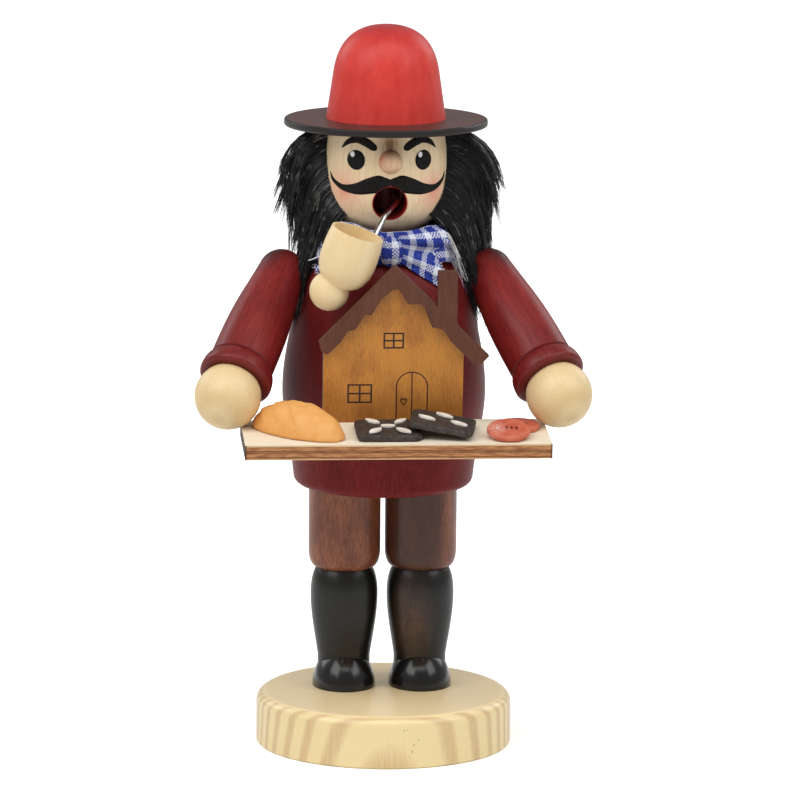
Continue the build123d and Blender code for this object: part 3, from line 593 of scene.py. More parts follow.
def sausage_clay():
    """Red clay with a whitish sheen painted on the left of each slice as a painted highlight, and three dark
    pressed marks in the middle of each slice.
    """
    material, tree, shader = new_material("sausage_clay", rough=0.42, ior=1.45)
    lumps = mottle(tree, 2.5, 3.0)
    colour = mixed(tree, spread(tree, lumps, 0.3, 0.7), "#C25A41", "#D07056")
    specks = mottle(tree, 0.7, 2.0)
    for node in ("front_sausage_slice", "back_sausage_slice"):
        centre = middle(node)
        # Painted highlight: a whitish sheen on the left of the slice, broken up by specks.
        painted_sheen = tint(tree, centre + Vector((-3.6, 0, 0.5)) * MM, (4.5, 7, 4))
        painted_sheen = maths(tree, "MULTIPLY", painted_sheen, spread(tree, specks, 0.4, 0.65, 0.2, 1.2))
        colour = mixed(tree, painted_sheen, colour, "#EBC9BC")
        for step in (-1, 0, 1):
            place = centre + Vector((0.8 + 1.35 * step, -0.3 * step, 0.6)) * MM
            colour = mixed(tree, tint(tree, place, (0.8, 1.6, 1.6), 2.4), colour, "#5A1F14")
    finish_with(tree, shader, colour, lumps, depth=0.08)
    return material


def metal(name, colour, rough, grit):
    """Drawn or stamped metal with fine marks."""
    material, tree, shader = new_material(name, metallic=1.0, rough=rough)
    marks = mottle(tree, grit, 2.0, stretch=6)
    colour = mixed(tree, spread(tree, marks, 0.3, 0.7), colour, "#E8E8E6")
    finish_with(tree, shader, colour, marks, depth=0.01)
    return material


# %% [markdown]
# Now every solid gets its finish. The burgundy is painted darker at the shoulders, the cuffs and the coat's
# right flank, as painted shade where sleeve, hair, hand and coat meet, with some stain soaked in on the
# flank. The red lacquer is painted darker on top of the crown, as painted shade over end grain that took
# more stain. The arms mirror each other, and so do their grain, their stain and their painted shade.

# %% Finishes of the construction's own solids
# Painted shade on each sleeve: at the top of the shoulder under the hair, and round the cuff where the hand
# sits in it.
arm_painted_shade = [(shoulder + Vector((2, 0, 8)) * MM, 13), (hand_centre - sleeve_axis * 5 * MM, 19)]
# The crown is painted darker on top: painted shade, over end grain that took more stain.
crown_top = Vector((0, axis_y, cad_box[1][2]))
# Painted shade on the coat's right flank beside the sleeve, with some stain soaked in there.
right_flank = Vector((-31 * MM, axis_y - 8 * MM, 106 * MM))
finishes = {
    "base_disc": pine_base(),
    "coat shoulder_dowels": stained_wood("burgundy_stain", "#5A1719", "#7C2A29", gloss=0.38, shine=0.1,
                                         coat=0.0, stain_and_shade=[(right_flank, 27)], stain_and_shade_tone="#45141A"),
    "head": head_paint(),
    "nose": nose_paint(),
    "hat_crown": stained_wood("red_lacquer", "#C62F29", "#D6443A", gloss=0.4, streak=3.0,
                              stain_and_shade=[(crown_top, 20)], stain_and_shade_tone="#A82428"),
    "hat_brim": brim_stain(),
    "tray": tray_plywood(),
    "house_wall": wall_plywood(),
    "house_roof": stained_wood("brown_stained_plywood", "#522F20", "#684130", gloss=0.6, coat=0.0),
    "bread_loaf": clay("bread_clay", "#E2A054", "#E7AA61", lump=3.0, depth=0.03),
    "flat_gingerbread leaning_gingerbread": clay("gingerbread_clay", "#2A2320", "#443A34"),
    "flat_gingerbread_almonds leaning_gingerbread_almonds": clay("almond_clay", "#DDD3C5", "#F3EDE2"),
    "back_sausage_slice front_sausage_slice": sausage_clay(),
    "pipe_stem": metal("steel_wire", "#B9B9B7", 0.18, 0.3),
    "cone_plate cone_plate_tack": metal("stamped_tin", "#A9A7A0", 0.35, 0.2),
    "neck_tube": clear_wood("smoke_browned_linden", "#3F2418", "#573222", ring=5.0),
    "pipe_bowl pipe_ball seat_disc hat_dowel hand_dowels tray_dowels":
        clear_wood("clear_lacquered_linden", "#E8CD99", "#EFD8AB", ring=5.0),
    "left_leg right_leg": leg_stain(),
    "left_shoe right_shoe": stained_wood("black_gloss_lacquer", "#0C0B0A", "#171513", gloss=0.22, coat=0.5),
}
for side, turned in (("left", Matrix.Identity(3)), ("right", Matrix.Scale(-1, 3, (1, 0, 0)))):
    axis = turned @ sleeve_axis
    stain_and_shade = [(turned @ place, size) for place, size in arm_painted_shade]
    finishes[side + "_arm"] = stained_wood(f"burgundy_stain_{side}_sleeve", "#661315", "#922C28", axis,
                                           gloss=0.38, stain_and_shade=stain_and_shade)
    finishes[side + "_hand"] = clear_wood(side + "_hand_linden", "#DABB87", "#E6CC9B", axis,
                                          turned @ hand_centre, ring=6.0)
for names, material in finishes.items():
    for name in names.split():
        nodes[name].data.materials.clear()
        nodes[name].data.materials.append(material)
print("finishes", len(finishes))

# %% [markdown]
# Hair is black doll's fur: thousands of straight fibres that stick together in locks and end raggedly.
# Modelling locks by hand looks like plasticine, so a Geometry Nodes tree grows the fibres. A patch of
# roots lies on the head, and each of its corners stores where a fibre bends and where it ends. The
# tree scatters roots on the patch, pulls the ends of neighbours together into locks, bends each fibre
# along a quadratic curve and sweeps a three-sided section along it. The threads of frayed cloth grow
# from the same tree.

# %% Tree that grows fibres
strand_inputs = {"Roots": "Geometry", "Density": "Float", "Lock density": "Float", "Lock share": "Float",
                 "Lock scatter": "Float", "Scatter": "Float", "Shortest": "Float", "Radius": "Float",
                 "Seed": "Int", "Material": "Material"}
fibre_points = 6
fibre_end = 0.03 * MM


def build_strand_tree():
    tree = bpy.data.node_groups.new("fibres", "GeometryNodeTree")
    for label, kind in strand_inputs.items():
        tree.interface.new_socket(label, in_out="INPUT", socket_type="NodeSocket" + kind)
    tree.interface.new_socket("Fibres", in_out="OUTPUT", socket_type="NodeSocketGeometry")
    given = add(tree, "NodeGroupInput").outputs

    def scattered(density, number):
        seed = maths(tree, "ADD", given["Seed"], number)
        return add(tree, "GeometryNodeDistributePointsOnFaces",
                   {"Mesh": given["Roots"], "Density": density, "Seed": seed}).outputs["Points"]

    def stored(name, kind="FLOAT_VECTOR"):
        found = add(tree, "GeometryNodeInputNamedAttribute", {"Name": name}, data_type=kind)
        return found.outputs["Attribute"]

    def random(kind, low, high, number, source):
        links = {"Min": low, "Max": high, "Seed": number}
        if source:
            links["ID"] = source
        return add(tree, "FunctionNodeRandomValue", links, data_type=kind)

    def any_way(size, number, source=None):
        way = random("FLOAT_VECTOR", (-1, -1, -1), (1, 1, 1), number, source)
        return add(tree, "ShaderNodeVectorMath", {0: way, "Scale": size}, operation="SCALE")

    def share_from(low, number, source=None):
        return random("FLOAT", low, 1.0, number, source).outputs[1]

    def blend(share, first, last):
        return add(tree, "ShaderNodeMix", {"Factor": share, "A": first, "B": last}, data_type="VECTOR")

    points = scattered(given["Density"], 0)
    locks = scattered(given["Lock density"], 50)
    near = add(tree, "GeometryNodeSampleNearest", {"Geometry": locks})
    lock_tip = add(tree, "GeometryNodeSampleIndex",
                   {"Geometry": locks, "Value": stored("tip"), "Index": near}, data_type="FLOAT_VECTOR")
    joined = blend(given["Lock share"], stored("tip"), lock_tip)
    strayed = add(tree, "ShaderNodeVectorMath", {0: joined, 1: any_way(given["Lock scatter"], 3, near)})
    strayed = add(tree, "ShaderNodeVectorMath", {0: strayed, 1: any_way(given["Scatter"], 5)})
    shortest = given["Shortest"]
    reach = maths(tree, "MULTIPLY", share_from(shortest, 8), share_from(shortest, 9, near))
    index = add(tree, "GeometryNodeInputIndex")
    for name, kind, value in (("end", "FLOAT_VECTOR", strayed), ("reach", "FLOAT", reach),
                              ("shade", "FLOAT", share_from(0.0, 12)), ("fibre", "INT", index)):
        points = add(tree, "GeometryNodeStoreNamedAttribute",
                     {"Geometry": points, "Name": name, "Value": value}, data_type=kind, domain="POINT")
    copies = add(tree, "GeometryNodeDuplicateElements", {"Geometry": points, "Amount": fibre_points},
                 domain="POINT").outputs
    number = copies["Duplicate Index"]
    curves = add(tree, "GeometryNodePointsToCurves", {"Points": copies["Geometry"], "Weight": number,
                                                      "Curve Group ID": stored("fibre", "INT")})
    along = maths(tree, "DIVIDE", number, fibre_points - 1)
    along = maths(tree, "MULTIPLY", along, stored("reach", "FLOAT"))
    first_run = blend(along, add(tree, "GeometryNodeInputPosition"), stored("mid"))
    last_run = blend(along, stored("mid"), stored("end"))
    place = blend(along, first_run, last_run)
    curves = add(tree, "GeometryNodeSetPosition", {"Geometry": curves, "Position": place})
    thin = add(tree, "ShaderNodeMapRange", {"Value": along, "To Min": given["Radius"], "To Max": fibre_end})
    section = add(tree, "GeometryNodeCurvePrimitiveCircle", {"Resolution": 3, "Radius": 1.0})
    mesh = add(tree, "GeometryNodeCurveToMesh", {"Curve": curves, "Profile Curve": section.outputs["Curve"],
                                                 "Scale": thin})
    mesh = add(tree, "GeometryNodeRealizeInstances", {"Geometry": mesh})
    mesh = add(tree, "GeometryNodeSetMaterial", {"Geometry": mesh, "Material": given["Material"]})
    add(tree, "NodeGroupOutput", {"Fibres": mesh})
    return tree


strand_tree = build_strand_tree()


def patch(name, rows):
    """A grid of corners, each with its place, bend and tip, as a mesh that stores bend and tip."""
    corners = [corner for row in rows for corner in row]
    mesh = new_mesh(name, [corner[0] for corner in corners], grid_faces(len(rows), len(rows[0])))
    for number, attribute in ((1, "mid"), (2, "tip")):
        layer = mesh.attributes.new(attribute, "FLOAT_VECTOR", "POINT")
        for at, corner in enumerate(corners):
            layer.data[at].vector = corner[number]
    return mesh


def grow(name, rows, kind, seed, material):
    """Grow fibres of a kind on a patch of roots and keep them as a plain mesh.

    A kind is how many fibres and locks grow, the share of the way that a fibre's tip moves to its
    lock's tip, how far locks and fibres stray, the shortest share of a length, and the root's radius.
    """
    roots = patch(name, rows)
    area = sum(polygon.area for polygon in roots.polygons)
    fibres, locks, lock_share, lock_scatter, scatter, shortest, radius = kind
    settings = {"Density": fibres / area, "Lock density": locks / area, "Lock share": lock_share,
                "Lock scatter": lock_scatter * MM, "Scatter": scatter * MM, "Shortest": shortest,
                "Radius": radius * MM, "Seed": seed, "Material": material}
    carrier = plain_object(name + "_roots", roots)
    modifier = carrier.modifiers.new("fibres", "NODES")
    modifier.node_group = strand_tree
    sockets = {item.name: item.identifier for item in strand_tree.interface.items_tree}
    for label, value in settings.items():
        modifier[sockets[label]] = value
    mesh = baked(carrier)
    print(name, "triangles", sum(len(polygon.vertices) - 2 for polygon in mesh.polygons))
    return plain_object(name, mesh)


# %% [markdown]
# The fur is glued round the head from ear to ear. Fibres at the top start under the brim, swing far out
# and end at the collar. Fibres lower down hang closer and reach the shoulders. An upper layer stands
# off and ends beside the jaw, a tuft on each side hangs into the gap between coat and sleeve, and a few
# fibres stray. A dark core fills the inside, so that no pale wood shows between the locks. Angles are in
# degrees from straight ahead towards the figure's left, and lengths in millimetres. A pair of numbers
# in a guide is for the top row of roots and for the lowest.

# %% Hair
head_tree = solid_tree("head")
hair_top = brim_low.z / MM - 0.6
hair_low = 155.5
back_from = 138.0
front_tuck, right_tuck, back_tuck = 3.0, 3.4, 4.2


def around(angle, radius, height):
    """A point at an angle, a radius from the head's axis and a height."""
    turned = radians(angle)
    return Vector((radius * MM * sin(turned), axis_y - radius * MM * cos(turned), height * MM))


def on_head(angle, height):
    """The head's surface at an angle and a height."""
    start = around(angle, 40, height)
    return head_tree.ray_cast(start, around(angle, 0, height) - start)[0]


def off_front(angle):
    """Degrees from straight ahead, and which side that is on."""
    return (angle, 1) if angle <= 180 else (360 - angle, -1)


def hair_part(drop):
    """Angle of the fur's front edge: beside the cheek at the top, under the jaw at the bottom."""
    return 80 - 33 * drop ** 2


def right_part(drop):
    return 360 - hair_part(drop)


def always(angle):
    return lambda drop: angle


def fibre_guide(angle, drop):
    """Root, bend and tip of a fibre that starts at an angle, from the top row (0) to the lowest (1)."""
    turned, side = off_front(angle)
    front = eased(1 - (turned - hair_part(drop)) / 34)
    fuller = 1 + (0.05 if side > 0 else -0.08) * sin(radians(turned))
    bend_radius = between(38.0, 25.5, drop) * fuller - 5.0 * front * (1 - drop)
    bend = around(angle + 4 * side * front, bend_radius, between(175.0, 151.0, drop))
    tip_angle = angle + side * front * between(4, 22, drop)
    tip = around(tip_angle, between(27.0, 25.0, drop) * fuller, between(147.0, 114.0, drop))
    return on_head(angle, between(hair_top, hair_low, drop)), bend, tip


def short_guide(angle, drop):
    """A fibre of the upper layer, which lies closer beside the face, on the right and at the back."""
    turned, side = off_front(angle)
    closer = front_tuck * eased(1 - (turned - hair_part(0)) / 30)
    closer += right_tuck * sin(radians(turned)) if side < 0 else 0.0
    closer += back_tuck * eased((turned - 105) / 45)
    bend = around(angle, between(35.0, 32.0, drop) - closer, between(178.0, 171.0, drop))
    tip = around(angle, between(35.5, 34.5, drop) - closer, between(160.0, 149.0, drop))
    return on_head(angle, between(hair_top, 170.0, drop)), bend, tip


def shoulder_guide(angle, drop):
    """A fibre that hangs from behind the jaw into the gap between coat and sleeve."""
    tip = around(angle + 8 * off_front(angle)[1], 27.4, between(124.0, 116.0, drop))
    return on_head(angle, between(163.0, hair_low, drop)), around(angle, 26.5, 146.0), tip


def fur_material():
    material, tree, shader = new_material("black_synthetic_fur", rough=0.3, ior=1.55)
    shade = add(tree, "ShaderNodeAttribute", attribute_name="shade").outputs["Fac"]
    colour = mixed(tree, spread(tree, shade, 0.5, 0.8), "#080707", "#151413")
    breaks = spread(tree, mottle(tree, 2.4, 1.0), 0.5, 0.6)
    glint = maths(tree, "MULTIPLY", spread(tree, shade, 0.84, 0.9), breaks)
    finish_with(tree, shader, mixed(tree, glint, colour, "#83817D"))
    return material


fur = fur_material()
long_fur = (6100, 100, 0.88, 4.8, 0.9, 0.6, 0.13)
upper_fur = (5600, 170, 0.93, 3.4, 0.8, 0.75, 0.14)
shoulder_fur = (1100, 26, 0.85, 2.4, 0.8, 0.8, 0.13)
stray_fur = (1700, 30, 0.0, 1.0, 6.5, 0.5, 0.12)
hair_layers = [
    ("left_hair", hair_part, always(back_from), fibre_guide, long_fur, 0),
    ("back_hair", always(back_from), always(360 - back_from), fibre_guide, long_fur, 1),
    ("right_hair", always(360 - back_from), right_part, fibre_guide, long_fur, 2),
    ("upper_hair", always(hair_part(0)), always(right_part(0)), short_guide, upper_fur, 5),
    ("left_shoulder_hair", always(66), always(108), shoulder_guide, shoulder_fur, 7),
    ("right_shoulder_hair", always(252), always(294), shoulder_guide, shoulder_fur, 7),
    ("stray_hair", hair_part, right_part, fibre_guide, stray_fur, 9)]
root_rows = 8
root_columns = 12
hair_pieces = []
for name, start, end, guide, kind, seed in hair_layers:
    rows = []
    for drop in [row / root_rows for row in range(root_rows + 1)]:
        shares = [column / root_columns for column in range(root_columns + 1)]
        rows.append([guide(between(start(drop), end(drop), share), drop) for share in shares])
    hair_pieces.append(grow(name, rows, kind, seed, fur))


def hair_core():
    """A closed dark mass inside the fur, lofted round the head from part to part."""
    columns = 40
    steps = 10
    rings = []
    for column in range(columns + 1):
        angle = between(84, 276, column / columns)
        root, bend, tip = around(angle, 18.4, hair_top), around(angle, 31, 173), around(angle, 22.5, 149)
        ring = []
        for step in range(steps + 1):
            share = step / steps
            ring.append(root * (1 - share) ** 2 + bend * 2 * share * (1 - share) + tip * share ** 2)
        ring += [around(angle, 20.6, 149), around(angle, 19.2, 154), around(angle, 18.3, 160)]
        rings.append(ring)
    size = len(rings[0])
    faces = []
    for here in range(0, columns * size, size):
        there = here + size
        for at in range(size):
            after = (at + 1) % size
            faces.append((here + at, there + at, there + after, here + after))
    faces += [tuple(range(size)), tuple(range(columns * size, (columns + 1) * size))]
    mesh = new_mesh("hair_core", [point for ring in rings for point in ring], faces)
    outward = bmesh.new()
    outward.from_mesh(mesh)
    bmesh.ops.recalc_face_normals(outward, faces=outward.faces)
    outward.to_mesh(mesh)
    outward.free()
    mesh.materials.append(fur)
    return plain_object("hair_core", mesh)


hair_pieces.append(hair_core())
for made in hair_pieces:
    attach(made, "figure")
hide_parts("hair")

# %% [markdown]
# The neckerchief is a torn strip of blue and white gingham: wound round the neck, tied in front, with two
# short tails. Gingham is a plain weave of striped threads. Where a blue stripe crosses a white one, the
# threads alternate, and the eye mixes them to pale blue. The material does just that: it finds which
# thread lies on top and takes that thread's colour. Its coordinates are the cloth's own, in millimetres.

# %% Gingham
blue_stripe = 3.2
white_stripe = 2.0
thread_size = 0.5


def gingham():
    material, tree, shader = new_material("gingham_cotton", rough=0.85, ior=1.4)
    cloth = parts_of(tree, add(tree, "ShaderNodeUVMap", uv_map="cloth"))
    repeat = blue_stripe + white_stripe

    def striped(across):
        share = maths(tree, "FRACT", maths(tree, "DIVIDE", across, repeat))
        white = maths(tree, "GREATER_THAN", share, blue_stripe / repeat)
        return mixed(tree, white, "#1C3191", "#DDE0EA")

    cells = add(tree, "ShaderNodeCombineXYZ", {"X": cloth["X"], "Y": cloth["Y"], "Z": thread_size / 2})
    over = add(tree, "ShaderNodeTexChecker", {"Vector": cells, "Scale": 1 / thread_size}).outputs["Fac"]
    worn = spread(tree, mottle(tree, 0.5, 2.0), 0.4, 0.8, 0.0, 0.2)
    colour = mixed(tree, over, striped(cloth["X"]), striped(cloth["Y"]))
    finish_with(tree, shader, mixed(tree, worn, colour, "#7F8DC4"), over, depth=0.08)
    return material


def thread_material():
    """Most threads are white, and about one in five is blue."""
    material, tree, shader = new_material("cotton_thread", rough=0.85, ior=1.4)
    shade = add(tree, "ShaderNodeAttribute", attribute_name="shade").outputs["Fac"]
    finish_with(tree, shader, mixed(tree, spread(tree, shade, 0.8, 0.84), "#F0EFEC", "#4A5EAA"))
    return material


# %% [markdown]
# Each part of the cloth is a grid: a place for every share across and along it, with folds that grow
# away from the knot. Every corner is then pushed clear of the coat and the head, so that cloth lies on
# the wood and never in it.

# %% Neckerchief
wood_under_cloth = [solid_tree("coat"), head_tree]
cloth_gap = 0.5 * MM
cloth_thickness = 0.3 * MM
shoulder_z = coat_top / MM - 19.42


def shoulder_reach(height):
    """Radius of the coat's round shoulder at a height, in millimetres."""
    rise = min(max(height - shoulder_z, 0.0), 17.5)
    return 7.0 + sqrt(17.6 ** 2 - rise ** 2)


def along_line(points, share):
    """A point at a share of the way through evenly spaced points."""
    at = min(share * (len(points) - 1), len(points) - 1.000001)
    first, last = points[int(at)], points[int(at) + 1]
    return [between(one, two, at - int(at)) for one, two in zip(first, last)]


def collar(across, along):
    """Across is the way round the neck, along is the way over the roll, from the inside down."""
    angle = -180 + 360 * across
    side = eased(abs(angle + 3) / 48)
    lower = 1.6 * eased(angle / 40)
    roll = [(12.4 + 1.4 * side, 148.3 + 1.0 * side), (15.2 + 2.0 * side, 151.2 + 2.8 * side - lower),
            (18.2 + 1.3 * side, 149.6 + 2.0 * side - lower), (19.9 + 1.2 * side, 145.6 + 0.4 * side),
            (20.8 + 1.2 * side, 142.4 - 0.4 * side)]
    radius, height = along_line(roll, along)
    folds = sin(radians(angle * 7 + 130 * along)) + 0.6 * sin(radians(angle * 13 - 210 * along + 40))
    radius += 0.5 * folds * sin(pi * along) * side
    height += 0.35 * sin(radians(angle * 9 + 60)) * side
    return around(angle, radius, height)


def tail(root, end, sway):
    """A tail that fans out from its root beside the knot to its end. Both are lines from low to high."""
    def place(across, along):
        ends = zip(along_line(root, across), along_line(end, across))
        x, height = [between(one, two, along) for one, two in ends]
        wide = eased(along * 1.4)
        radius = max(shoulder_reach(height) + 1.3, 21.2 + 0.8 * along, abs(x) + 1.5)
        radius += 1.15 * wide * -cos(4 * pi * across + sway) + 0.35 * wide * sin(9 * across + 5 * along)
        ragged = 0.5 * along ** 6 * sin(31 * across)
        return Vector(((x + ragged) * MM, axis_y - sqrt(max(radius ** 2 - x ** 2, 4.0)) * MM, height * MM))
    return place


knot_centre = Vector((0.1 * MM, axis_y - 21.4 * MM, 146.3 * MM))


def knot(across, along):
    """The band that ties the tails: a narrow roll, pinched into upright folds."""
    turned, lifted = tau * across, pi * (along - 0.5)
    pinch = 1 + (0.08 * sin(5 * turned + 1.0) + 0.04 * sin(9 * turned + 4 * along)) * cos(lifted)
    reach = Vector((3.1 * cos(lifted) * cos(turned), 2.4 * cos(lifted) * sin(turned), 4.4 * sin(lifted)))
    return knot_centre + reach * pinch * MM


left_tail = tail([(2.2, 143.6), (2.8, 147.8), (2.2, 151.8)],
                 [(13.5, 135.6), (14.2, 139.6), (15.0, 143.6), (18.0, 146.6), (17.0, 150.2),
                  (13.8, 153.2)], 0.3)
right_tail = tail([(-2.2, 144.0), (-2.6, 147.6), (-2.2, 151.2)],
                  [(-18.6, 137.0), (-20.4, 139.4), (-21.8, 142.6)], 2.6)
# A part's place, its columns and rows, its flat width and length, and where the stripes start across it.
cloth_parts = [(collar, 144, 14, 112.0, 17.0, 0.0), (left_tail, 36, 26, 17.0, 16.0, 0.6),
               (right_tail, 24, 28, 8.0, 21.0, 1.9), (knot, 28, 16, 18.0, 14.0, 0.0)]


def clear_of_wood(point):
    for wood in wood_under_cloth:
        near, normal, _, distance = wood.find_nearest(point)
        if distance < 3 * MM and (point - near).dot(normal) < cloth_gap:
            point = near + normal * cloth_gap
    return point


def neckerchief():
    corners, faces, laid_flat = [], [], []
    for place, columns, rows, width, length, shift in cloth_parts:
        faces += grid_faces(rows + 1, columns + 1, len(corners))
        for row in range(rows + 1):
            for column in range(columns + 1):
                corners.append(clear_of_wood(place(column / columns, row / rows)))
                laid_flat.append((column / columns * width + shift, row / rows * length))
    mesh = new_mesh("neckerchief", corners, faces)
    flat = mesh.uv_layers.new(name="cloth")
    for loop in mesh.loops:
        flat.data[loop.index].uv = laid_flat[loop.vertex_index]
    mesh.materials.append(gingham())
    print("cloth area in square millimetres", sum(polygon.area for polygon in mesh.polygons) / MM ** 2)
    return thickened("neckerchief_cloth", mesh, cloth_thickness)


cloth = neckerchief()

# %% [markdown]
# The strip was torn, so loose threads hang from the ends of the tails. Some of the left tail's threads
# gather in a bunch that hangs down over the sleeve.

# %% Frayed ends
cotton = thread_material()


def fray(name, place, start, end, count, seed, reach=1.8, to=None, loose=0.7):
    """Loose threads along the end of a tail, between two shares across it, that may gather at a point."""
    rows = [[], []]
    for step in range(9):
        across = between(start, end, step / 8)
        edge = place(across, 0.985)
        outward = (edge - place(across, 0.9)).normalized()
        bend = edge + outward * reach * 0.6 * MM
        tip = to + Vector((0, 0, 1.5 * MM * (step - 4) / 4)) if to else edge + outward * reach * MM
        for row, back in zip(rows, (0.985, 0.96)):
            row.append((clear_of_wood(place(across, back)), bend, tip))
    return grow(name, rows, (count, 14, 0.5, 0.5, loose, 0.7, 0.13), seed, cotton)


bunch_end = Vector((22.8, -9.0, 134.6)) * MM
threads = [fray("left_tail_fray", left_tail, 0.0, 0.4, 50, 21),
           fray("left_tail_bunch", left_tail, 0.48, 0.9, 38, 22, reach=4.0, to=bunch_end, loose=1.3),
           fray("right_tail_fray", right_tail, 0.0, 1.0, 60, 23, reach=2.2)]
for made in [cloth, *threads]:
    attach(made, "figure")
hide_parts("neckerchief")

# %% [markdown]
# The face is painted with a brush, so each mark is a stroke: a centre line that swells and tapers. A
# stroke is laid out flat, cast straight back onto the wood, and raised by the thickness of the paint.

# %% Brush strokes
stroke_shares = (-1, -0.5, 0, 0.5, 1)


def swept(points, steps):
    """A smooth line through points of any number of parts."""
    line = []
    for at in range(len(points) - 1):
        before, first, last, after = (points[max(at - 1, 0)], points[at], points[at + 1],
                                      points[min(at + 2, len(points) - 1)])
        for step in range(steps if at < len(points) - 2 else steps + 1):
            share = step / steps
            line.append([0.5 * (2 * b + (c - a) * share + (2 * a - 5 * b + 4 * c - d) * share ** 2
                                + (3 * b - a - 3 * c + d) * share ** 3)
                         for a, b, c, d in zip(before, first, last, after)])
    return line


def stroke(points, steps=8, closed=False):
    """Rows of flat points across a stroke. A point is its place in x and z, and half its width."""
    line = swept(points, steps)
    rows = []
    for at, (x, z, half) in enumerate(line):
        before, after = line[max(at - 1, 0)], line[min(at + 1, len(line) - 1)]
        if closed and at in (0, len(line) - 1):
            before, after = line[-2], line[1]
        way = Vector((after[0] - before[0], after[1] - before[1])).normalized()
        rows.append([(x - way.y * half * share, z + way.x * half * share) for share in stroke_shares])
    return rows


def oval(x, z, wide, high):
    """An oval as one straight stroke that swells and closes."""
    return [[(x + wide * sqrt(max(1 - share ** 2, 0)) * part, z + high * share) for part in stroke_shares]
            for share in [sin(pi * (step / 16 - 0.5)) for step in range(17)]]


def painted(name, strokes, material, wood, proud=0.06):
    """Strokes cast from the front onto a piece of wood, as one thin raised mesh."""
    corners, faces = [], []
    for rows in strokes:
        faces += grid_faces(len(rows), len(rows[0]), len(corners))
        for x, z in [point for row in rows for point in row]:
            hit, normal = wood.ray_cast(Vector((x * MM, -0.2, z * MM)), Vector((0, 1, 0)))[:2]
            corners.append(hit + normal * proud * MM)
    mesh = new_mesh(name, corners, faces)
    mesh.materials.append(material)
    made = thickened(name, mesh, (proud + 0.02) * MM)
    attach(made, "figure")
    print(name, "strokes", len(strokes))


def paint(name, colour, gloss):
    material, tree, shader = new_material(name, rough=gloss, ior=1.4, shine=0.25)
    brush = spread(tree, mottle(tree, 0.8, 2.0), 0.3, 0.7, 0.0, 0.06)
    finish_with(tree, shader, mixed(tree, brush, colour, "#6B6560"))
    return material


# %% [markdown]
# Brows and moustache are lines with a half width at each point, in millimetres, drawn for the figure's
# left and mirrored. The eyes are ovals, each with a white light high on the figure's right.

# %% Face
eye_x, eye_z = 9.6, 171.9
brow = [(13.45, 175.0, 0.1), (11.6, 176.9, 0.7), (9.2, 177.7, 1.0), (6.8, 177.0, 1.2), (4.7, 175.6, 1.0),
        (4.0, 175.0, 0.3)]
moustache = [(16.4, 167.6, 0.05), (15.6, 165.4, 0.4), (13.2, 163.7, 0.85), (9.6, 163.6, 1.6),
             (6.0, 164.6, 2.25), (3.0, 165.4, 2.4), (1.3, 165.7, 1.5), (0.0, 165.7, 0.9)]


def outside_mouth(x, z):
    """Keep paint off the drilled mouth."""
    off = Vector((x, z - mouth_z / MM))
    if off.length < mouth_radius + 0.1:
        off = off.normalized() * (mouth_radius + 0.1)
    return off.x, off.y + mouth_z / MM


def mirrored(points, side):
    return [(x * side, *rest) for x, *rest in points]


sides = (-1, 1)
black_strokes = [oval(side * eye_x, eye_z, 2.4, 2.85) for side in sides]
black_strokes += [stroke(mirrored(brow, side)) for side in sides]
for side in sides:
    rows = stroke(mirrored(moustache, side))
    black_strokes.append([[outside_mouth(x, z) for x, z in row] for row in rows])
black_paint = paint("black_brush_paint", "#050404", 0.55)
white_paint = paint("white_brush_paint", "#FFFFFF", 0.45)
painted("painted_brows_eyes_moustache", black_strokes, black_paint, head_tree)
eye_lights = [oval(side * eye_x - 0.95, 173.5, 0.6, 0.8) for side in sides]
painted("painted_eye_lights", eye_lights, white_paint, head_tree, proud=0.12)

# %% [markdown]
# The lock on the house's door is a small heart, burnt into the plate as a fine closed line. It is a
# stroke like the others, placed in the tray's frame.

# %% Heart on the door
lock = tray_frame @ (Vector((3.1, wall_front, 6.0)) * MM) / MM
line_half = 0.16
heart = [(0.0, 0.55), (0.35, 0.95), (0.75, 0.85), (0.85, 0.45), (0.5, -0.15), (0.0, -0.85)]
heart = heart + [(-x, z) for x, z in heart[-2:0:-1]] + heart[:1]
heart = [(lock.x + x, lock.z + z, line_half) for x, z in heart]
burnt = paint("burnt_line", "#3A1C10", 0.6)
heart_rows = stroke(heart, steps=4, closed=True)
painted("burnt_door_lock", [heart_rows], burnt, solid_tree("house_wall"), proud=0.03)

# %% [markdown]
# Clay has no sharp edges. Each of the goods is a copy of its solid, remeshed evenly, rubbed round and
# pressed a little out of true. The almonds are drawn larger, and those of the flat biscuit lie further
# apart, round a smaller one in the middle.

# %% Clay goods
unchanged = (1.0, 1.0)


def widened(copy, times, apart, centre_share):
    """Scale each loose part about its own middle, across and in depth, and move the parts apart."""
    whole = sum((vertex.co for vertex in copy.verts), Vector()) / len(copy.verts)
    left = set(copy.verts)
    while left:
        part, found = set(), [left.pop()]
        while found:
            vertex = found.pop()
            part.add(vertex)
            near = {edge.other_vert(vertex) for edge in vertex.link_edges} & left
            left -= near
            found += near
        centre = sum((vertex.co for vertex in part), Vector()) / len(part)
        size = Vector(times) * (centre_share if (centre - whole).length < 1 * MM else 1.0)
        for vertex in part:
            off = (vertex.co.xy - centre.xy) * size
            vertex.co.xy = whole.xy + (centre.xy - whole.xy) * Vector(apart) + off


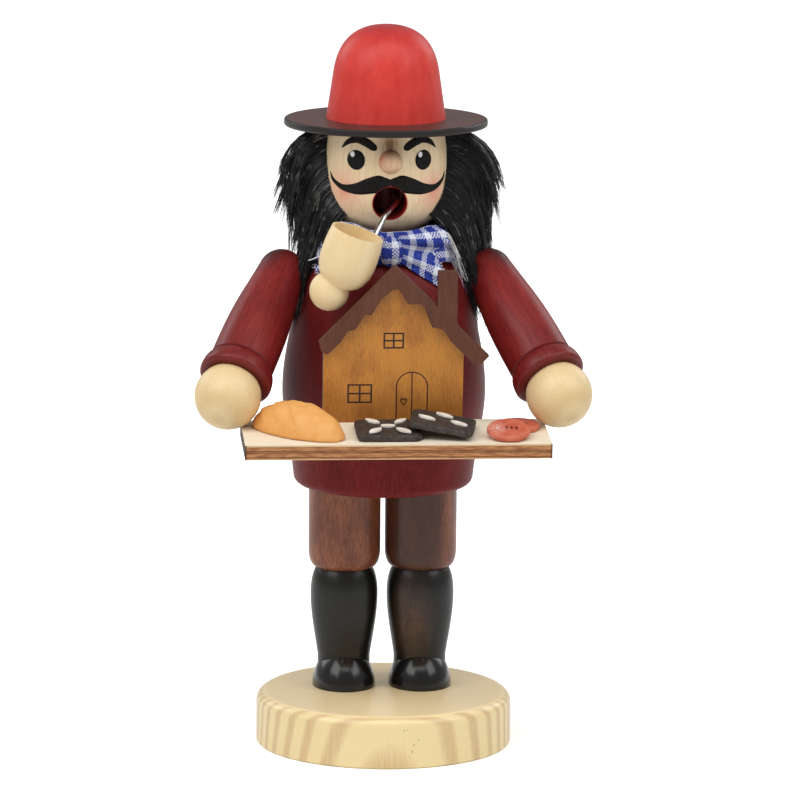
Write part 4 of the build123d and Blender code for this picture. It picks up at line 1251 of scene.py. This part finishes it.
def pressed(node, voxel, passes, lump, size, wide=unchanged, apart=unchanged, centre_share=1.0,
            ridge=None):
    """A clay copy of a solid with rounded edges and faces that wander by a lump's height.

    Voxel, lump and the lumps' size are in millimetres, and passes is how often the copy is rubbed.
    """
    copy = bmesh.new()
    copy.from_mesh(nodes[node].data)
    bmesh.ops.remove_doubles(copy, verts=copy.verts, dist=0.001 * MM)
    widened(copy, wide, apart, centre_share)
    mesh = bpy.data.meshes.new(node)
    copy.to_mesh(mesh)
    copy.free()
    carrier = plain_object(node + "_blank", mesh)
    even = carrier.modifiers.new("even", "REMESH")
    even.mode = "VOXEL"
    even.voxel_size = voxel * MM
    rubbed = carrier.modifiers.new("rubbed", "SMOOTH")
    rubbed.factor = 0.5
    rubbed.iterations = passes
    soft = baked(carrier)
    moves = []
    for vertex in soft.vertices:
        rise = noise.noise(vertex.co / (size * MM)) * lump
        rise += ridge(vertex.co) if ridge else 0.0
        moves.append(vertex.normal * rise * MM)
    for vertex, move in zip(soft.vertices, moves):
        vertex.co += move
    soft.materials.clear()
    soft.materials.append(nodes[node].data.materials[0])
    made = plain_object(node + "_clay", soft)
    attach(made, "figure")
    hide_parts(node)
    print(node, "faces", len(soft.polygons))


loaf_place = middle("bread_loaf")
lobe_height = 0.17
lobe_length = 5.6


def loaf_ridge(point):
    """Low slanting lobes across the loaf, steeper on one side."""
    off = (point - loaf_place) / MM
    share = tau * (off.x + 0.6 * off.z - 0.25 * off.y) / lobe_length
    return lobe_height * eased((off.z + 2.5) / 4) * (sin(share) + 0.3 * sin(2 * share))


pressed("bread_loaf", 0.45, 18, 0.05, 6.0, ridge=loaf_ridge)
for node in ("flat_gingerbread", "leaning_gingerbread"):
    pressed(node, 0.35, 10, 0.18, 2.5)
pressed("flat_gingerbread_almonds", 0.12, 2, 0.03, 1.5, wide=(1.1, 1.4),
        apart=(1.22, 1.75), centre_share=0.78)
pressed("leaning_gingerbread_almonds", 0.12, 2, 0.03, 1.5, wide=(1.25, 1.25))
for node in ("back_sausage_slice", "front_sausage_slice"):
    pressed(node, 0.3, 4, 0.1, 2.5)
